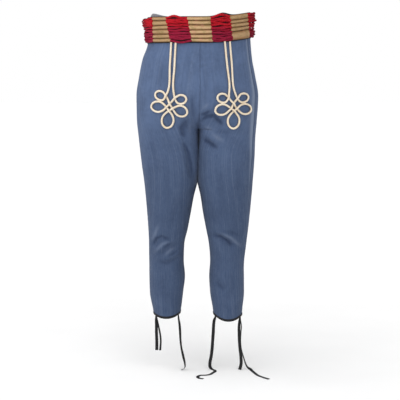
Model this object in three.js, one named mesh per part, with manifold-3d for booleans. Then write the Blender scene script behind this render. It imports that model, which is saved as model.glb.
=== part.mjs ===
// Light blue hussar trousers with a barrel sash, filled out as if worn.
// Millimetres, +Z up. The front faces -Y. The origin is the middle of the waist, halfway up the sash.
// "right" and "left" are the wearer's: right lies towards -X.
import * as THREE from 'three';
import Module from 'manifold-3d';
import { mergeVertices } from 'three/addons/utils/BufferGeometryUtils.js';

const wasm = await Module();
wasm.setup();

// Driving dimensions
const CLOTH = 2;
const SEAM_GAP = 0.4;
const WAISTBAND = { top: 37, rise: 13, peakArc: -172, frontReach: 50, rearReach: 14, columns: 96 };
const WAISTBAND_SEAM = 14;
const CROTCH_START = -235;
const CROTCH = -318;
const FLOOR = -1134;
const HEM = {
  right: { side: -941, frontDip: 9.5, backDip: 7 },
  left: { side: -946, frontDip: 14, backDip: 8 },
};
const HEM_RISE = 4.6;
const HEM_EASE = 120;
const HIP_POWER = 2.15;
const HIP_FADE = { from: CROTCH_START, to: -425 };

const CORD_RADIUS = 3.3;
const CORD_SIDES = 5;
const CORD_STEP = 9.5;
const CORD_LIFT = 1.5;

const SASH = { middle: -1, halfHeight: 40, lift: 17, liftReach: 170, liftPower: 2.5 };
const BACKING = { near: 1.2, far: 2.3, below: 43, above: 40.5 };
const BARREL = { near: 3.8, valley: 4.9, crest: 9.2, columns: 4 };
const STRANDS = { near: 3.6, valley: 4.8, crest: 9, rows: 10, columns: 5, spread: 0.1, sway: 1.6 };
const SASH_GAP = 0.5;
const SASH_HUMP = { arc: 73, height: 9.5, reach: 24 };
const RING_COLUMNS = 48;

const RIBBON = { width: 10.6, thickness: 1.2, sewnDepth: 14, fall: 9, clearance: 0.9 };
const BINDING = { near: 0.35, far: 1.35, height: 5, drop: 0.4, bottom: 1.5 };

// Silhouette of the worn garment: distance of each side from the middle plane, by height.
const OUTLINE = [
  { z: 52, right: 161, left: 170 },
  { z: -42, right: 162, left: 174 },
  { z: -97, right: 180, left: 180 },
  { z: -150, right: 191, left: 191 },
  { z: -215, right: 200, left: 202 },
  { z: -281, right: 200, left: 199 },
  { z: -360, right: 193, left: 192 },
  { z: -439, right: 184, left: 187 },
  { z: -519, right: 174, left: 181 },
  { z: -626, right: 165, left: 172 },
  { z: -707, right: 161, left: 162 },
  { z: -788, right: 161, left: 155 },
  { z: -869, right: 159, left: 155 },
  { z: -924, right: 149, left: 150 },
  { z: -965, right: 142, left: 147 },
];

// Inner edge of each leg, from the middle plane.
const INNER_LEG = [
  { z: CROTCH, right: 0.7, left: 0.7 },
  { z: -492, right: 0.7, left: 0.7 },
  { z: -546, right: 12, left: 10 },
  { z: -600, right: 22, left: 18 },
  { z: -653, right: 32, left: 28 },
  { z: -707, right: 44, left: 38 },
  { z: -761, right: 46, left: 42 },
  { z: -815, right: 42, left: 39 },
  { z: -869, right: 48, left: 42 },
  { z: -924, right: 55, left: 51 },
  { z: -965, right: 62, left: 56 },
];

// Foremost and rearmost lines of the hips, and of each leg.
const HIP_DEPTH = [
  { z: 52, front: -117, back: 119 },
  { z: -42, front: -119, back: 124 },
  { z: -150, front: -127, back: 143 },
  { z: CROTCH_START, front: -131, back: 157 },
  { z: CROTCH, front: -128, back: 152 },
  { z: -400, front: -116, back: 132 },
];
const LEG_DEPTH = [
  { z: CROTCH_START, front: -122, back: 140 },
  { z: CROTCH, front: -116, back: 130 },
  { z: -400, front: -103, back: 111 },
  { z: -519, front: -88, back: 93 },
  { z: -626, front: -74, back: 79 },
  { z: -707, front: -64, back: 67 },
  { z: -788, front: -56, back: 76 },
  { z: -869, front: -54, back: 68 },
  { z: -965, front: -52, back: 58 },
];

// How square each leg's section is: 2 is an ellipse.
const LEG_POWER = [
  { z: CROTCH_START, power: 2.8 },
  { z: CROTCH, power: 2.7 },
  { z: -519, power: 2.1 },
];

// The hips are turned a little to the wearer's left, in degrees.
const TWIST = [
  { z: 52, turn: 4.5 },
  { z: -180, turn: 4.5 },
  { z: -400, turn: 0 },
];

// How far each side seam sits forward of the widest line, in degrees round the section.
const SIDE_SEAM = [
  { z: 52, right: -8, left: 27 },
  { z: -97, right: -8, left: 25 },
  { z: -250, right: -7, left: 25 },
  { z: -400, right: -6, left: 31 },
  { z: -600, right: -2, left: 27 },
  { z: -965, right: 0, left: 0 },
];

// Rows of each panel, from the top down: where a stretch ends and how many rows it has.
const ROW_STRETCHES = [
  { to: -46, rows: 2 },
  { to: CROTCH_START, rows: 4 },
  { to: CROTCH, rows: 7, arc: true },
  { to: -480, rows: 5 },
  { to: -640, rows: 3 },
  { to: -780, rows: 8 },
  { to: HEM.left.side, rows: 5 },
];
const PANEL_COLUMNS = 12;

// Large folds. Depth is inward, a ridge has a negative one, and reach is the half width.
const FOLDS = [
  { face: 'front', x0: 12, z0: -274, x1: 52, z1: -266, depth: 6, reach: 11 },
  { face: 'front', x0: 18, z0: -258, x1: 50, z1: -236, depth: -4, reach: 11 },
  { face: 'front', x0: 24, z0: -286, x1: 84, z1: -297, depth: 5, reach: 11 },
  { face: 'front', x0: -17, z0: -290, x1: -40, z1: -344, depth: 6, reach: 11 },
  { face: 'front', x0: 20, z0: -356, x1: 66, z1: -381, depth: 6, reach: 12 },
  { face: 'front', x0: 26, z0: -336, x1: 70, z1: -358, depth: -3, reach: 11 },
  { face: 'front', x0: -39, z0: -368, x1: -18, z1: -478, depth: 6, reach: 11 },
  { face: 'front', x0: -148, z0: -699, x1: -88, z1: -680, depth: 5, reach: 11 },
  { face: 'front', x0: -139, z0: -726, x1: -93, z1: -690, depth: -4, reach: 10 },
  { face: 'front', x0: -126, z0: -734, x1: -66, z1: -704, depth: 5, reach: 10 },
  { face: 'front', x0: -108, z0: -752, x1: -60, z1: -727, depth: -4, reach: 10 },
  { face: 'front', x0: -124, z0: -766, x1: -64, z1: -748, depth: 4, reach: 11 },
  { face: 'front', x0: 50, z0: -668, x1: 116, z1: -701, depth: 6, reach: 11 },
  { face: 'front', x0: 82, z0: -658, x1: 142, z1: -698, depth: -4, reach: 11 },
  { face: 'front', x0: 62, z0: -826, x1: 92, z1: -852, depth: 4, reach: 13 },
  { face: 'back', x0: -150, z0: -690, x1: -70, z1: -706, depth: 6, reach: 12 },
  { face: 'back', x0: -140, z0: -722, x1: -62, z1: -728, depth: 5, reach: 12 },
  { face: 'back', x0: 56, z0: -684, x1: 138, z1: -704, depth: 6, reach: 12 },
  { face: 'back', x0: 60, z0: -726, x1: 140, z1: -736, depth: 5, reach: 12 },
  { face: 'back', x0: -24, z0: -322, x1: -120, z1: -352, depth: 6, reach: 14 },
  { face: 'back', x0: 28, z0: -318, x1: 124, z1: -346, depth: 6, reach: 14 },
  { face: 'back', x0: -30, z0: -372, x1: -92, z1: -420, depth: 5, reach: 13 },
];

// One knot of the braid: loops seen from the front, measured from its crossing. "go" is the angle at
// which the cord enters the loop and "turn" how far it goes round, anticlockwise, in degrees.
const KNOT_LOOPS = [
  { across: -36, up: 23, length: 35, width: 28, lean: -12, go: -40, turn: -285 },
  { across: 37, up: -13, length: 42, width: 33, lean: -8, go: -140, turn: 265 },
  { across: 0, up: -50, length: 38, width: 50, lean: 0, go: 125, turn: 290 },
  { across: -38, up: -13, length: 44, width: 33, lean: 8, go: 55, turn: 265 },
  { across: 31, up: 23, length: 35, width: 28, lean: 12, go: 145, turn: -285 },
];
const KNOT_POINTS = 6;
const KNOTS = {
  right: { x: -86, z: -240, turn: -10, narrow: 0.98, top: -48.5, stems: [-82, -68], bends: [-91, -76] },
  left: { x: 115, z: -242, turn: 0, narrow: 0.98, top: -45, stems: [86, 102], bends: [101, 115] },
};
const STEM_BEND = -190;

// The sash, piece by piece along its middle line. Each list starts beside the front barrel. "lean" is how
// far the piece's end away from the front barrel leans at its foot, towards the wearer's left, and
// "ridges" are the shares of a barrel's ridges from the foot up.
const FRONT_BARREL = { width: 71, rightLean: 7.5, leftLean: 3.5, ridges: [12, 13, 14, 17, 14, 13] };
const BACK_BARREL = { ridges: [12, 13, 15, 13, 14, 13] };
const SASH_RIGHTWARD = [
  { kind: 'strands', name: 'front_right', width: 65, lean: 9 },
  { kind: 'barrel', name: 'right', width: 61, lean: 2, ridges: [12, 13, 15, 13, 16, 12] },
  { kind: 'strands', name: 'side_right', width: 87, lean: 0, bulge: { top: 11, foot: 0 } },
  { kind: 'barrel', name: 'back_right', width: 78, lean: 0, ridges: [12, 13, 14, 15, 13, 13] },
  { kind: 'strands', name: 'back_right', width: 82, lean: 0 },
];
const SASH_LEFTWARD = [
  { kind: 'strands', name: 'front_left', width: 62.5, lean: 4 },
  { kind: 'barrel', name: 'left', width: 78.5, lean: 5, ridges: [28, 12, 13, 11, 16] },
  { kind: 'strands', name: 'side_left', width: 84, lean: 0, bulge: { top: 11, foot: 2 } },
  { kind: 'barrel', name: 'back_left', width: 78, lean: 0, ridges: [12, 14, 14, 13, 15, 12] },
  { kind: 'strands', name: 'back_left', width: 78, lean: 0 },
];

// Ribbon ties: where each is sewn inside a hem, and the rest of its route chosen by hand.
// "face" is the direction of the ribbon's width in degrees from +X.
const RIBBONS = [
  { node: 'ribbon_right_outer_front', leg: 'right', angle: 7, route: [
    { x: -139, y: -2.5, z: -962, face: 62 },
    { x: -138, y: -1, z: -980, face: 30 },
    { x: -138, y: 1, z: -1006, face: 22 },
    { x: -137.2, y: 3, z: -1036, face: 16 },
    { x: -137.2, y: 1, z: -1068, face: 2 },
  ] },
  { node: 'ribbon_right_outer_back', leg: 'right', angle: -9, route: [
    { x: -136, y: 12.5, z: -966, face: 78 },
    { x: -131.8, y: 13.5, z: -985, face: 68 },
    { x: -126.6, y: 13.5, z: -1012, face: 62 },
    { x: -124.4, y: 12, z: -1040, face: 60 },
    { x: -126.2, y: 8, z: -1070, face: 52 },
  ] },
  { node: 'ribbon_right_inner', leg: 'right', angle: 180, route: [
    { x: -63, y: 2, z: -965, face: 72 },
    { x: -60.6, y: 2, z: -981, face: 48 },
    { x: -58.6, y: 1, z: -1006, face: 45 },
    { x: -57, y: 0, z: -1034, face: 54 },
    { x: -54.2, y: -2, z: -1060, face: 58 },
    { x: -48.4, y: -3, z: -1088, face: 48 },
    { x: -42.8, y: -4, z: -1112, face: 62 },
    { x: -42, y: -6, z: -1123, face: 70 },
    { x: -46, y: -8, z: -1129.5, face: 70 },
    { x: -54, y: -10, z: -1132.6, face: 66 },
  ] },
  { node: 'ribbon_left_inner', leg: 'left', angle: 180, route: [
    { x: 56, y: 2, z: -966, face: 130 },
    { x: 54, y: 3, z: -982, face: 162 },
    { x: 53, y: 3, z: -1006, face: 172 },
    { x: 51.2, y: 4, z: -1034, face: 176 },
    { x: 49.2, y: 5, z: -1062, face: 178 },
    { x: 46, y: 6, z: -1090, face: 180 },
    { x: 41.4, y: 5, z: -1116, face: 184 },
    { x: 43, y: 3, z: -1128, face: 200 },
    { x: 50, y: -4, z: -1133.2, face: 230 },
    { x: 57, y: -14, z: -1133.2, face: 225 },
    { x: 58, y: -30, z: -1133.2, face: 180 },
    { x: 50, y: -50, z: -1133.2, face: 150 },
    { x: 41, y: -70, z: -1133.2, face: 140 },
    { x: 27, y: -80, z: -1133.2, face: 105 },
    { x: 10, y: -82, z: -1133.2, face: 120 },
    { x: 1, y: -98, z: -1133.2, face: 178 },
    { x: 5, y: -118, z: -1133.2, face: 215 },
    { x: 19, y: -127, z: -1133.2, face: 260 },
  ] },
  { node: 'ribbon_left_outer_front', leg: 'left', angle: 7, route: [
    { x: 141, y: -3, z: -968, face: 122 },
    { x: 139.4, y: -2.5, z: -988, face: 146 },
    { x: 139.6, y: -3, z: -1012, face: 150 },
    { x: 140.4, y: -3, z: -1036, face: 152 },
    { x: 142.6, y: -3, z: -1062, face: 158 },
    { x: 145.8, y: -4, z: -1088, face: 166 },
    { x: 146.6, y: -6, z: -1113, face: 176 },
    { x: 141.5, y: -9, z: -1132.5, face: 182 },
  ] },
  { node: 'ribbon_left_outer_back', leg: 'left', angle: -7, route: [
    { x: 145.6, y: 10, z: -970, face: 100 },
    { x: 147.4, y: 11.5, z: -986, face: 104 },
    { x: 146, y: 13, z: -1010, face: 106 },
    { x: 145.2, y: 13.5, z: -1036, face: 108 },
    { x: 147.2, y: 13, z: -1063, face: 110 },
    { x: 154, y: 12, z: -1092, face: 112 },
    { x: 166, y: 6, z: -1124, face: 120 },
    { x: 180, y: -14, z: -1133.2, face: 132 },
    { x: 190, y: -50, z: -1133.2, face: 160 },
    { x: 200, y: -82, z: -1133.2, face: 155 },
    { x: 215, y: -108, z: -1133.2, face: 148 },
    { x: 233, y: -131, z: -1133.2, face: 142 },
  ] },
];
const RIBBON_STEP = 20;

const SIGN = { right: -1, left: 1, front: -1, back: 1 };
const radians = THREE.MathUtils.degToRad;

const paints = {
  cloth: { color: '#5e76a6', roughness: 0.9, metalness: 0 },
  waistband: { color: '#7d828c', roughness: 0.9, metalness: 0 },
  black: { color: '#17161a', roughness: 0.8, metalness: 0 },
  braid: { color: '#dfd1b8', roughness: 0.85, metalness: 0 },
  barrel: { color: '#c2a46c', roughness: 0.8, metalness: 0 },
  strands: { color: '#a31c34', roughness: 0.8, metalness: 0 },
};

// Interpolation that never overshoots its rows.
function valueAt(table, key, z) {
  const last = table.length - 1;
  if (z >= table[0].z) return table[0][key];
  if (z <= table[last].z) return table[last][key];
  let i = 0;
  while (table[i + 1].z > z) i += 1;
  const slope = (k) => (table[k + 1][key] - table[k][key]) / (table[k + 1].z - table[k].z);
  const tangent = (k) => {
    if (k === 0 || k === last) return slope(Math.min(k, last - 1));
    const before = slope(k - 1);
    const after = slope(k);
    return before * after <= 0 ? 0 : (2 * before * after) / (before + after);
  };
  const span = table[i + 1].z - table[i].z;
  const t = (z - table[i].z) / span;
  const rise = t * t * (3 - 2 * t);
  return table[i][key] * (1 - rise) + table[i + 1][key] * rise
    + span * (t * (1 - t) * (1 - t) * tangent(i) - t * t * (1 - t) * tangent(i + 1));
}

const ease = (t) => {
  const c = Math.min(Math.max(t, 0), 1);
  return c * c * (3 - 2 * c);
};

const ovalTerm = (value, power) => Math.sign(value) * Math.abs(value) ** (2 / power);

function twisted(x, y, z) {
  const turn = radians(valueAt(TWIST, 'turn', z));
  return new THREE.Vector3(
    x * Math.cos(turn) - y * Math.sin(turn), x * Math.sin(turn) + y * Math.cos(turn), z);
}

// A point of the hips' section. The angle starts at the side and is positive towards the front.
function hipSection(side, angle, z) {
  const front = valueAt(HIP_DEPTH, 'front', z);
  const back = valueAt(HIP_DEPTH, 'back', z);
  const width = valueAt(OUTLINE, side, z);
  return {
    x: SIGN[side] * width * ovalTerm(Math.cos(angle), HIP_POWER),
    y: (front + back) / 2 - ((back - front) / 2) * ovalTerm(Math.sin(angle), HIP_POWER),
  };
}

function legSection(side, angle, z) {
  const outer = valueAt(OUTLINE, side, z);
  const inner = valueAt(INNER_LEG, side, z);
  const front = valueAt(LEG_DEPTH, 'front', z);
  const back = valueAt(LEG_DEPTH, 'back', z);
  const power = valueAt(LEG_POWER, 'power', z);
  return {
    x: SIGN[side] * ((outer + inner) / 2 + ((outer - inner) / 2) * ovalTerm(Math.cos(angle), power)),
    y: (front + back) / 2 - ((back - front) / 2) * ovalTerm(Math.sin(angle), power),
  };
}

// The cloth's outer face before folds. u runs from the side seam to the centre seam or inseam.
function plainCloth(side, face, u, z) {
  const seam = radians(valueAt(SIDE_SEAM, side, z));
  const towards = -SIGN[face];
  const hip = hipSection(side, seam + u * (towards * Math.PI / 2 - seam), z);
  const leg = legSection(side, seam + u * (towards * Math.PI - seam), z);
  const fall = Math.min(Math.max((CROTCH_START - z) / (CROTCH_START - CROTCH), 0), 1);
  const edge = 1 - Math.sqrt(1 - fall * fall);
  const nearEdge = u ** 6;
  const fade = ease((HIP_FADE.from - z) / (HIP_FADE.from - HIP_FADE.to));
  const legShare = (1 - nearEdge) * fade + nearEdge * edge;
  return twisted(
    hip.x + (leg.x - hip.x) * legShare, hip.y + (leg.y - hip.y) * legShare, z);
}

function clothNormal(side, face, u, z) {
  const du = 0.004;
  const dz = 0.6;
  const across = plainCloth(side, face, Math.min(u + du, 1), z)
    .sub(plainCloth(side, face, Math.max(u - du, 0), z));
  const down = plainCloth(side, face, u, z - dz).sub(plainCloth(side, face, u, z + dz));
  return across.cross(down).normalize().multiplyScalar(SIGN[side] * -SIGN[face]);
}

function foldDepth(face, point) {
  let depth = 0;
  for (const fold of FOLDS) {
    if (fold.face !== face) continue;
    const dx = fold.x1 - fold.x0;
    const dz = fold.z1 - fold.z0;
    const length = Math.hypot(dx, dz);
    const along = ((point.x - fold.x0) * dx + (point.z - fold.z0) * dz) / (length * length);
    const off = ((point.x - fold.x0) * dz - (point.z - fold.z0) * dx) / length;
    const taper = ease(Math.min(along, 1 - along) * 3 + 0.5);
    depth += fold.depth * taper * Math.exp(-((off / fold.reach) ** 2));
  }
  return depth;
}

// A point of the cloth with its folds, moved out along the cloth's normal.
function clothPoint(side, face, u, z, out = 0) {
  const point = plainCloth(side, face, u, z);
  const seamward = ease(Math.min(u * 8, (1 - u) * 3));
  const depth = foldDepth(face, point) * seamward;
  return point.addScaledVector(clothNormal(side, face, u, z), out - depth);
}

function panelRows() {
  const rows = [WAISTBAND_SEAM];
  for (const stretch of ROW_STRETCHES) {
    const from = rows[rows.length - 1];
    for (let k = 1; k <= stretch.rows; k += 1) {
      const t = k / stretch.rows;
      const share = stretch.arc ? Math.sin((t * Math.PI) / 2) : t;
      rows.push(from + (stretch.to - from) * share);
    }
  }
  return rows;
}

// The hem rises to the inner leg and dips between its seams.
function rowHeight(side, face, u, z) {
  const hem = HEM[side];
  const dip = hem[`${face}Dip`] * Math.max(Math.sin(Math.PI * u), 0) ** 2.2 - HEM_RISE * u
    + (HEM.left.side - hem.side);
  return z - dip * ease((HEM.left.side + HEM_EASE - z) / HEM_EASE);
}

// Closed solids from matching sections, either closed round on themselves or capped at both ends.
function sweep(sections, capFaces) {
  const count = sections[0].length;
  const positions = sections.flat().flatMap((point) => [point.x, point.y, point.z]);
  const faces = [];
  const lastSection = capFaces ? sections.length - 1 : sections.length;
  for (let i = 0; i < lastSection; i += 1) {
    const here = i * count;
    const next = ((i + 1) % sections.length) * count;
    for (let j = 0; j < count; j += 1) {
      const k = (j + 1) % count;
      faces.push(here + j, next + j, next + k, here + j, next + k, here + k);
    }
  }
  if (capFaces) {
    const end = (sections.length - 1) * count;
    for (const [a, b, c] of capFaces) faces.push(a, b, c, end + a, end + c, end + b);
  }
  const geometry = new THREE.BufferGeometry();
  geometry.setAttribute('position', new THREE.Float32BufferAttribute(positions, 3));
  geometry.setIndex(faces);
  return facingOut(geometry);
}

function facingOut(geometry) {
  const at = geometry.getAttribute('position');
  const index = geometry.getIndex();
  const [a, b, c] = [new THREE.Vector3(), new THREE.Vector3(), new THREE.Vector3()];
  let volume = 0;
  for (let i = 0; i < index.count; i += 3) {
    a.fromBufferAttribute(at, index.getX(i));
    b.fromBufferAttribute(at, index.getX(i + 1));
    c.fromBufferAttribute(at, index.getX(i + 2));
    volume += a.dot(b.cross(c));
  }
  if (volume < 0) {
    for (let i = 0; i < index.count; i += 3) {
      const second = index.getX(i + 1);
      index.setX(i + 1, index.getX(i + 2));
      index.setX(i + 2, second);
    }
  }
  return geometry;
}

const fanCap = (count) => Array.from({ length: count - 2 }, (_, i) => [0, i + 1, i + 2]);

// Cap of a section that runs out along one face and back along the other.
function stripCap(count) {
  const faces = [];
  for (let j = 0; j < count / 2 - 1; j += 1) {
    const back = count - 1 - j;
    faces.push([j, j + 1, back - 1], [j, back - 1, back]);
  }
  return faces;
}

function outlineCap(outline) {
  return THREE.ShapeUtils.triangulateShape(outline.map(([x, y]) => new THREE.Vector2(x, y)), []);
}

function panel(side, face, rows) {
  const grid = rows.map((z) => {
    const outer = [];
    const inner = [];
    for (let j = 0; j <= PANEL_COLUMNS; j += 1) {
      const width = valueAt(OUTLINE, side, z) * 1.6;
      const margin = SEAM_GAP / 2 / width;
      const u = margin + (1 - 2 * margin) * (j / PANEL_COLUMNS);
      const height = rowHeight(side, face, u, z);
      outer.push(clothPoint(side, face, u, height));
      inner.push(clothPoint(side, face, u, height, -CLOTH));
    }
    return { outer, inner };
  });
  const sections = grid.map(({ outer, inner }) => [...outer, ...inner.slice().reverse()]);
  return { grid, geometry: sweep(sections, stripCap(sections[0].length)) };
}

// Black binding folded round a hem. It is built from the last two rows of its panels.
function hemBinding(front, back) {
  const profile = [
    { out: BINDING.far, up: BINDING.height },
    { out: BINDING.far, up: -BINDING.bottom },
    { out: -CLOTH - BINDING.far, up: -BINDING.bottom },
    { out: -CLOTH - BINDING.far, up: BINDING.height },
    { out: -CLOTH - BINDING.near, up: BINDING.height },
    { out: -CLOTH - BINDING.near, up: -BINDING.drop },
    { out: BINDING.near, up: -BINDING.drop },
    { out: BINDING.near, up: BINDING.height },
  ];
  const columns = [];
  const last = front.grid.length - 1;
  const addColumn = (grid, j) => {
    const low = grid[last].outer[j];
    const high = grid[last - 1].outer[j];
    const normal = low.clone().sub(grid[last].inner[j]).normalize();
    const climb = high.clone().sub(low).divideScalar(high.z - low.z);
    columns.push(profile.map(({ out, up }) => low.clone()
      .addScaledVector(climb, up).addScaledVector(normal, out)));
  };
  for (let j = 0; j <= PANEL_COLUMNS; j += 1) addColumn(front.grid, j);
  for (let j = PANEL_COLUMNS - 1; j > 0; j -= 1) addColumn(back.grid, j);
  return sweep(columns);
}

// Arc lengths round the waist, measured from the centre front towards the wearer's left.
const WAIST_SAMPLES = 720;
const waistArc = [0];
function waistPoint(turn, z, out = 0) {
  const side = Math.sin(turn) < 0 ? 'right' : 'left';
  const at = (angle) => {
    const p = hipSection(side, angle, z);
    return twisted(p.x, p.y, z);
  };
  const angle = Math.PI / 2 - Math.abs(Math.atan2(Math.sin(turn), Math.cos(turn)));
  const step = 0.01;
  const tangent = at(angle - step).sub(at(angle + step));
  const normal = new THREE.Vector3(tangent.y, -tangent.x, 0).normalize().multiplyScalar(SIGN[side]);
  return at(angle).addScaledVector(normal, out);
}
for (let i = 1; i <= WAIST_SAMPLES; i += 1) {
  const step = (2 * Math.PI) / WAIST_SAMPLES;
  const length = waistPoint(i * step, 0).distanceTo(waistPoint((i - 1) * step, 0));
  waistArc.push(waistArc[i - 1] + length);
}
const WAIST_LENGTH = waistArc[WAIST_SAMPLES];

function turnAtArc(arc) {
  const wanted = ((arc % WAIST_LENGTH) + WAIST_LENGTH) % WAIST_LENGTH;
  let i = 0;
  while (waistArc[i + 1] < wanted) i += 1;
  const part = (wanted - waistArc[i]) / (waistArc[i + 1] - waistArc[i]);
  return ((i + part) * 2 * Math.PI) / WAIST_SAMPLES;
}

// A band round the waist from a rectangle of two distances out and two heights.
function waistRing(near, far, bottom, top, columns = RING_COLUMNS) {
  const sections = [];
  for (let i = 0; i < columns; i += 1) {
    const arc = (WAIST_LENGTH * i) / columns;
    const turn = turnAtArc(arc);
    const low = bottom(arc);
    const high = top(arc);
    sections.push([
      waistPoint(turn, low, far), waistPoint(turn, high, far),
      waistPoint(turn, high, near), waistPoint(turn, low, near),
    ]);
  }
  return sweep(sections);
}

function sashMiddle(arc) {
  const x = waistPoint(turnAtArc(arc), 0).x;
  return SASH.middle + SASH.lift * Math.max(x / SASH.liftReach, 0) ** SASH.liftPower;
}

// How far one place round the waist lies beyond another, towards the wearer's left.
function beyond(arc, place) {
  const off = (arc - place) / WAIST_LENGTH;
  return (off - Math.round(off)) * WAIST_LENGTH;
}

function sashHump(arc) {
  return SASH_HUMP.height * Math.exp(-((beyond(arc, SASH_HUMP.arc) / SASH_HUMP.reach) ** 2));
}

// The waistband stands above the sash at the wearer's right and is hidden by it elsewhere.
function waistbandTop(arc) {
  const off = beyond(arc, WAISTBAND.peakArc);
  const reach = off > 0 ? WAISTBAND.frontReach : WAISTBAND.rearReach;
  return WAISTBAND.top + WAISTBAND.rise * Math.exp(-((off / reach) ** 2));
}

// Ridged outlines of the sash, as [out, up] pairs. The ridges are shares of the height, from the foot up.
function ridgedOutline({ near, valley, crest }, ridges, steps) {
  const half = SASH.halfHeight;
  const total = ridges.reduce((sum, ridge) => sum + ridge, 0);
  const outline = [[near, -half], [valley, -half]];
  let foot = -half;
  for (const ridge of ridges) {
    const height = (2 * half * ridge) / total;
    for (let k = 1; k <= steps; k += 1) {
      const part = k / steps;
      const out = valley + (crest - valley) * Math.sin(Math.PI * part) ** 0.7;
      outline.push([k === steps ? valley : out, foot + height * part]);
    }
    foot += height;
  }
  outline.push([near, half]);
  return outline;
}

// Arc of a point of a sash piece between its two leaning ends.
function sashArc(from, to, part, up) {
  const lean = from.lean + (to.lean - from.lean) * part;
  return from.arc + (to.arc - from.arc) * part - (lean * up) / SASH.halfHeight;
}

function sashBarrel(from, to, ridges) {
  const outline = ridgedOutline(BARREL, ridges, 4);
  const sections = [];
  for (let c = 0; c <= BARREL.columns; c += 1) {
    sections.push(outline.map(([out, up]) => {
      const arc = sashArc(from, to, c / BARREL.columns, up);
      return waistPoint(turnAtArc(arc), sashMiddle(arc) + up, out);
    }));
  }
  return sweep(sections, outlineCap(outline));
}

function sashStrands(from, to, bulge = { top: 0, foot: 0 }) {
  const outline = ridgedOutline(STRANDS, Array(STRANDS.rows).fill(1), 3);
  const sections = [];
  for (let c = 0; c <= STRANDS.columns; c += 1) {
    const part = c / STRANDS.columns;
    const swell = Math.sin(Math.PI * part);
    sections.push(outline.map(([out, up]) => {
      const arc = sashArc(from, to, part, up);
      const high = Math.max(up / SASH.halfHeight, 0);
      const sway = STRANDS.sway * swell * Math.sin(up * 0.35 + from.arc * 0.05 + part * 4);
      const z = sashMiddle(arc) + up * (1 + STRANDS.spread * swell) + sway
        + sashHump(arc) * high * high * swell;
      const height = (up / SASH.halfHeight + 1) / 2;
      const stand = (bulge.foot + (bulge.top - bulge.foot) * height) * swell;
      return waistPoint(turnAtArc(arc), z, out + (out > STRANDS.near ? stand : 0));
    }));
  }
  return sweep(sections, outlineCap(outline));
}

// The point of a front panel at a given place in front view, worked out from the panel's own points.
function frontPoint(side, grid, x, z, out) {
  let i = 0;
  while (i < grid.length - 2 && grid[i + 1].outer[0].z > z) i += 1;
  const drop = (grid[i].outer[0].z - z) / (grid[i].outer[0].z - grid[i + 1].outer[0].z);
  const line = grid[i].outer.map((point, j) => point.clone().lerp(grid[i + 1].outer[j], drop));
  let j = 0;
  while (j < line.length - 2 && Math.abs(line[j + 1].x) > Math.abs(x)) j += 1;
  const part = (x - line[j].x) / (line[j + 1].x - line[j].x);
  const normal = clothNormal(side, 'front', (j + part) / PANEL_COLUMNS, z);
  return { point: line[j].clone().lerp(line[j + 1], part).addScaledVector(normal, out), normal };
}

// Route of one braid in front view: down one stem, round the five loops and up the other stem.
function braidRoute(side) {
  const knot = KNOTS[side];
  const lean = radians(knot.turn);
  const place = (across, up) => new THREE.Vector2(
    knot.x + (across * Math.cos(lean) - up * Math.sin(lean)) * knot.narrow,
    knot.z + across * Math.sin(lean) + up * Math.cos(lean));
  const stem = (k) => [
    new THREE.Vector2(knot.stems[k], knot.top),
    new THREE.Vector2((knot.stems[k] + knot.bends[k]) / 2, (knot.top + STEM_BEND) / 2),
    new THREE.Vector2(knot.bends[k], STEM_BEND),
  ];
  const loops = KNOT_LOOPS.map((loop) => Array.from({ length: KNOT_POINTS + 1 }, (_, i) => {
    const angle = radians(loop.go + (loop.turn * i) / KNOT_POINTS);
    const tilt = radians(loop.lean);
    const a = (loop.length / 2) * Math.cos(angle);
    const b = (loop.width / 2) * Math.sin(angle);
    return place(loop.across + a * Math.cos(tilt) - b * Math.sin(tilt),
      loop.up + a * Math.sin(tilt) + b * Math.cos(tilt));
  }));
  return [stem(0), ...loops, stem(1).reverse()];
}

// The cord is cut at the tip of every loop, so no piece crosses itself, and the pieces are joined.
function braidPieces(side) {
  const stretches = braidRoute(side);
  const points = stretches.flat();
  const cuts = [0];
  let passed = stretches[0].length;
  for (const loop of stretches.slice(1, -1)) {
    cuts.push(passed + KNOT_POINTS / 2);
    passed += loop.length;
  }
  cuts.push(points.length - 1);
  const route = new THREE.CatmullRomCurve3(points.map(({ x, y }) => new THREE.Vector3(x, 0, y)));
  const pieces = [];
  for (let i = 0; i < cuts.length - 1; i += 1) {
    const from = cuts[i] / (points.length - 1);
    const to = cuts[i + 1] / (points.length - 1);
    let length = 0;
    const probes = 60;
    for (let k = 0; k < probes; k += 1) {
      length += route.getPoint(from + ((to - from) * k) / probes)
        .distanceTo(route.getPoint(from + ((to - from) * (k + 1)) / probes));
    }
    const steps = Math.round(length / CORD_STEP);
    pieces.push(Array.from({ length: steps + 1 }, (_, k) => {
      const t = from + ((to - from) * k) / steps;
      return { at: route.getPoint(t), along: route.getTangent(t) };
    }));
  }
  return pieces;
}

function cordSection(side, grid, { at, along }) {
  const flat = CORD_RADIUS * Math.cos(Math.PI / CORD_SIDES);
  const lift = flat + CORD_LIFT;
  const { point, normal } = frontPoint(side, grid, at.x, at.z, lift);
  const ahead = frontPoint(side, grid, at.x + along.x, at.z + along.z, lift).point;
  const heading = ahead.sub(point).normalize();
  const across = heading.clone().cross(normal).normalize();
  const up = across.clone().cross(heading).normalize();
  return Array.from({ length: CORD_SIDES }, (_, k) => {
    const angle = Math.PI + ((k + 0.5) * 2 * Math.PI) / CORD_SIDES;
    return point.clone().addScaledVector(across, CORD_RADIUS * Math.sin(angle))
      .addScaledVector(up, CORD_RADIUS * Math.cos(angle));
  });
}

function asSolid(geometry) {
  const merged = mergeVertices(geometry, 1e-4);
  return new wasm.Manifold(new wasm.Mesh({
    numProp: 3,
    vertProperties: Float32Array.from(merged.getAttribute('position').array),
    triVerts: Uint32Array.from(merged.getIndex().array),
  }));
}

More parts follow.
